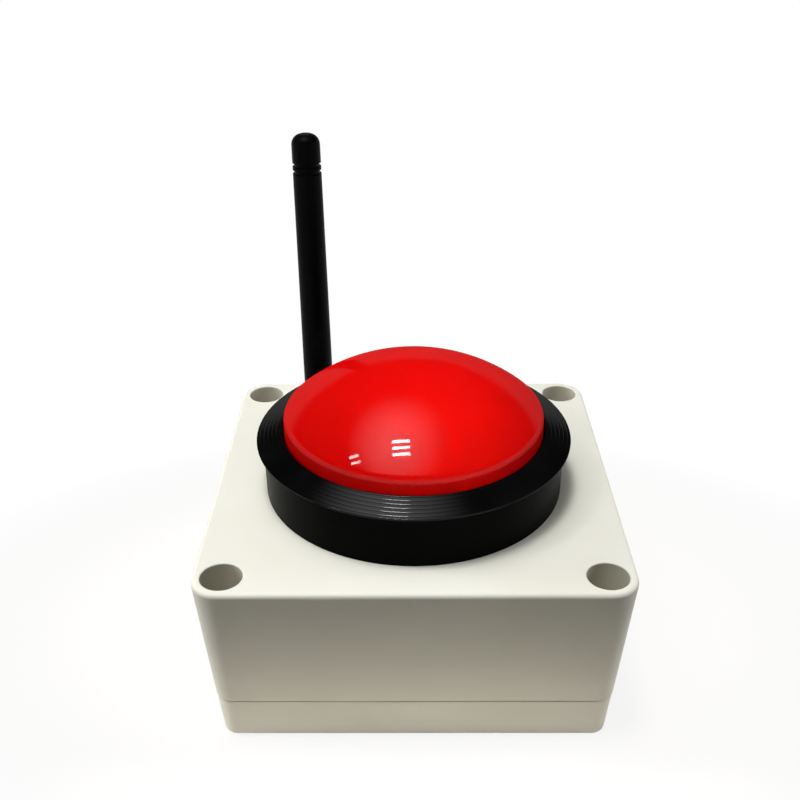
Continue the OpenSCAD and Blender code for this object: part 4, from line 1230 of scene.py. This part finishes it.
def switchRoute(number):
    low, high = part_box("microswitch_terminals")
    tabZ = low.z + lead["tabHigh"] / 2 if number else high.z - lead["tabHigh"] / 2
    start = Vector((high.x, (low.y + high.y) / 2, tabZ))
    turnY = start.y + lead["plateBack"] + roomShare("switchTurn", number)
    return [
        start,
        start + millimetres(2, 0, 0),
        start + millimetres(5.5, 2.5, 0),
        Vector((start.x, turnY, (start.z + wayMouth.z) / 2)) + millimetres(4.5 - 2 * number, 0, 0),
        *wayTurn(3 - number, roomShare("switchBack", number)),
    ]


def lampRoute(number):
    low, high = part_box("lamp_contacts")
    tabX = high.x - lead["lampTab"] if number else low.x + lead["lampTab"]
    start = Vector((tabX, (low.y + high.y) / 2, low.z))
    halfway = (start + wayAt(number)) / 2
    return [
        start,
        start - millimetres(0, 0, 2),
        Vector((halfway.x, start.y, halfway.z)) + millimetres(0, 1, 1),
        wayAt(number) + millimetres(0, -5, 2.4),
        *wayEnd(number),
    ]


def coaxRoute(number):
    # this one goes from the jack to its plug on the radio module, and there is only one
    start = middleOf("antenna_jack")
    start.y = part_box("antenna_jack")[0].y
    plug = middleOf("radio_module")
    plug.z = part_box("radio_module")[0].z
    plug += Vector(lead["plugAt"])
    top = plug + Vector((0, 0, lead["plugHigh"]))
    return [
        start,
        start - millimetres(0, 3, 0),
        start + millimetres(1.5, -6, -2),
        Vector(((start.x + plug.x) / 2, plug.y, (start.z + plug.z) / 2)) - millimetres(0, 2, 0),
        top + millimetres(-2, -0.4, 7),
        top + millimetres(0, 0, 3),
        top,
    ]


def curvePoint(points, number, t):
    # a smooth line through the points, at the share t of the stretch that begins at one of them
    a, b, c, d = (points[min(max(number + k, 0), len(points) - 1)] for k in (-1, 0, 1, 2))
    square, cube = 2 * a - 5 * b + 4 * c - d, 3 * b - a - 3 * c + d
    return (2 * b + (c - a) * t + square * t ** 2 + cube * t ** 3) / 2


def makeLead(name, points, thick):
    steps = lead["steps"]
    path = [curvePoint(points, n, k / steps) for n in range(len(points) - 1) for k in range(steps)]
    path.append(points[-1])
    line = bpy.data.curves.new(name, "CURVE")
    line.dimensions = "3D"
    line.bevel_depth = thick
    line.bevel_resolution = lead["roundness"]
    line.use_fill_caps = True
    spline = line.splines.new("POLY")
    spline.points.add(len(path) - 1)
    for spot, point in zip(spline.points, path):
        spot.co = (*point, 1)
    piece = bpy.data.objects.new(name, line)
    bpy.context.scene.collection.objects.link(piece)
    takeUp(piece)
    bpy.ops.object.convert(target="MESH")
    tidyMesh(piece)
    return piece


leadKinds = [
    ("battery_leads", "battery_wire", batteryRoute, 2, lead["wire"]),
    ("switch_leads", "switch_wire", switchRoute, 2, lead["wire"]),
    ("lamp_leads", "lamp_wire", lampRoute, 2, lead["wire"]),
    ("antenna_pigtail", "coax_jacket", coaxRoute, 1, lead["coax"]),
]
for leadNode, leadSlot, leadRoute, count, thick in leadKinds:
    for number in range(count):
        wire = makeLead(f"{leadSlot}{number}", leadRoute(number), thick)
        settle(wire, "case", leadSlot, leadNode, angle=50)
print("buzzer: leads laid")


# Foam under the battery: a thin pad with a soft top edge

pad = {"edge": 0.0003, "steps": 3, "fill": 0.9}


def makePad():
    low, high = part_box("battery_pad")
    foam = boxTool(low, high)
    foam.name = "batteryFoam"
    softenEdges(foam, levelEdges(high.z), pad["edge"], steps=pad["steps"])
    settle(foam, "case", "pad_foam", "battery_pad")


makePad()
print("buzzer: foam laid")
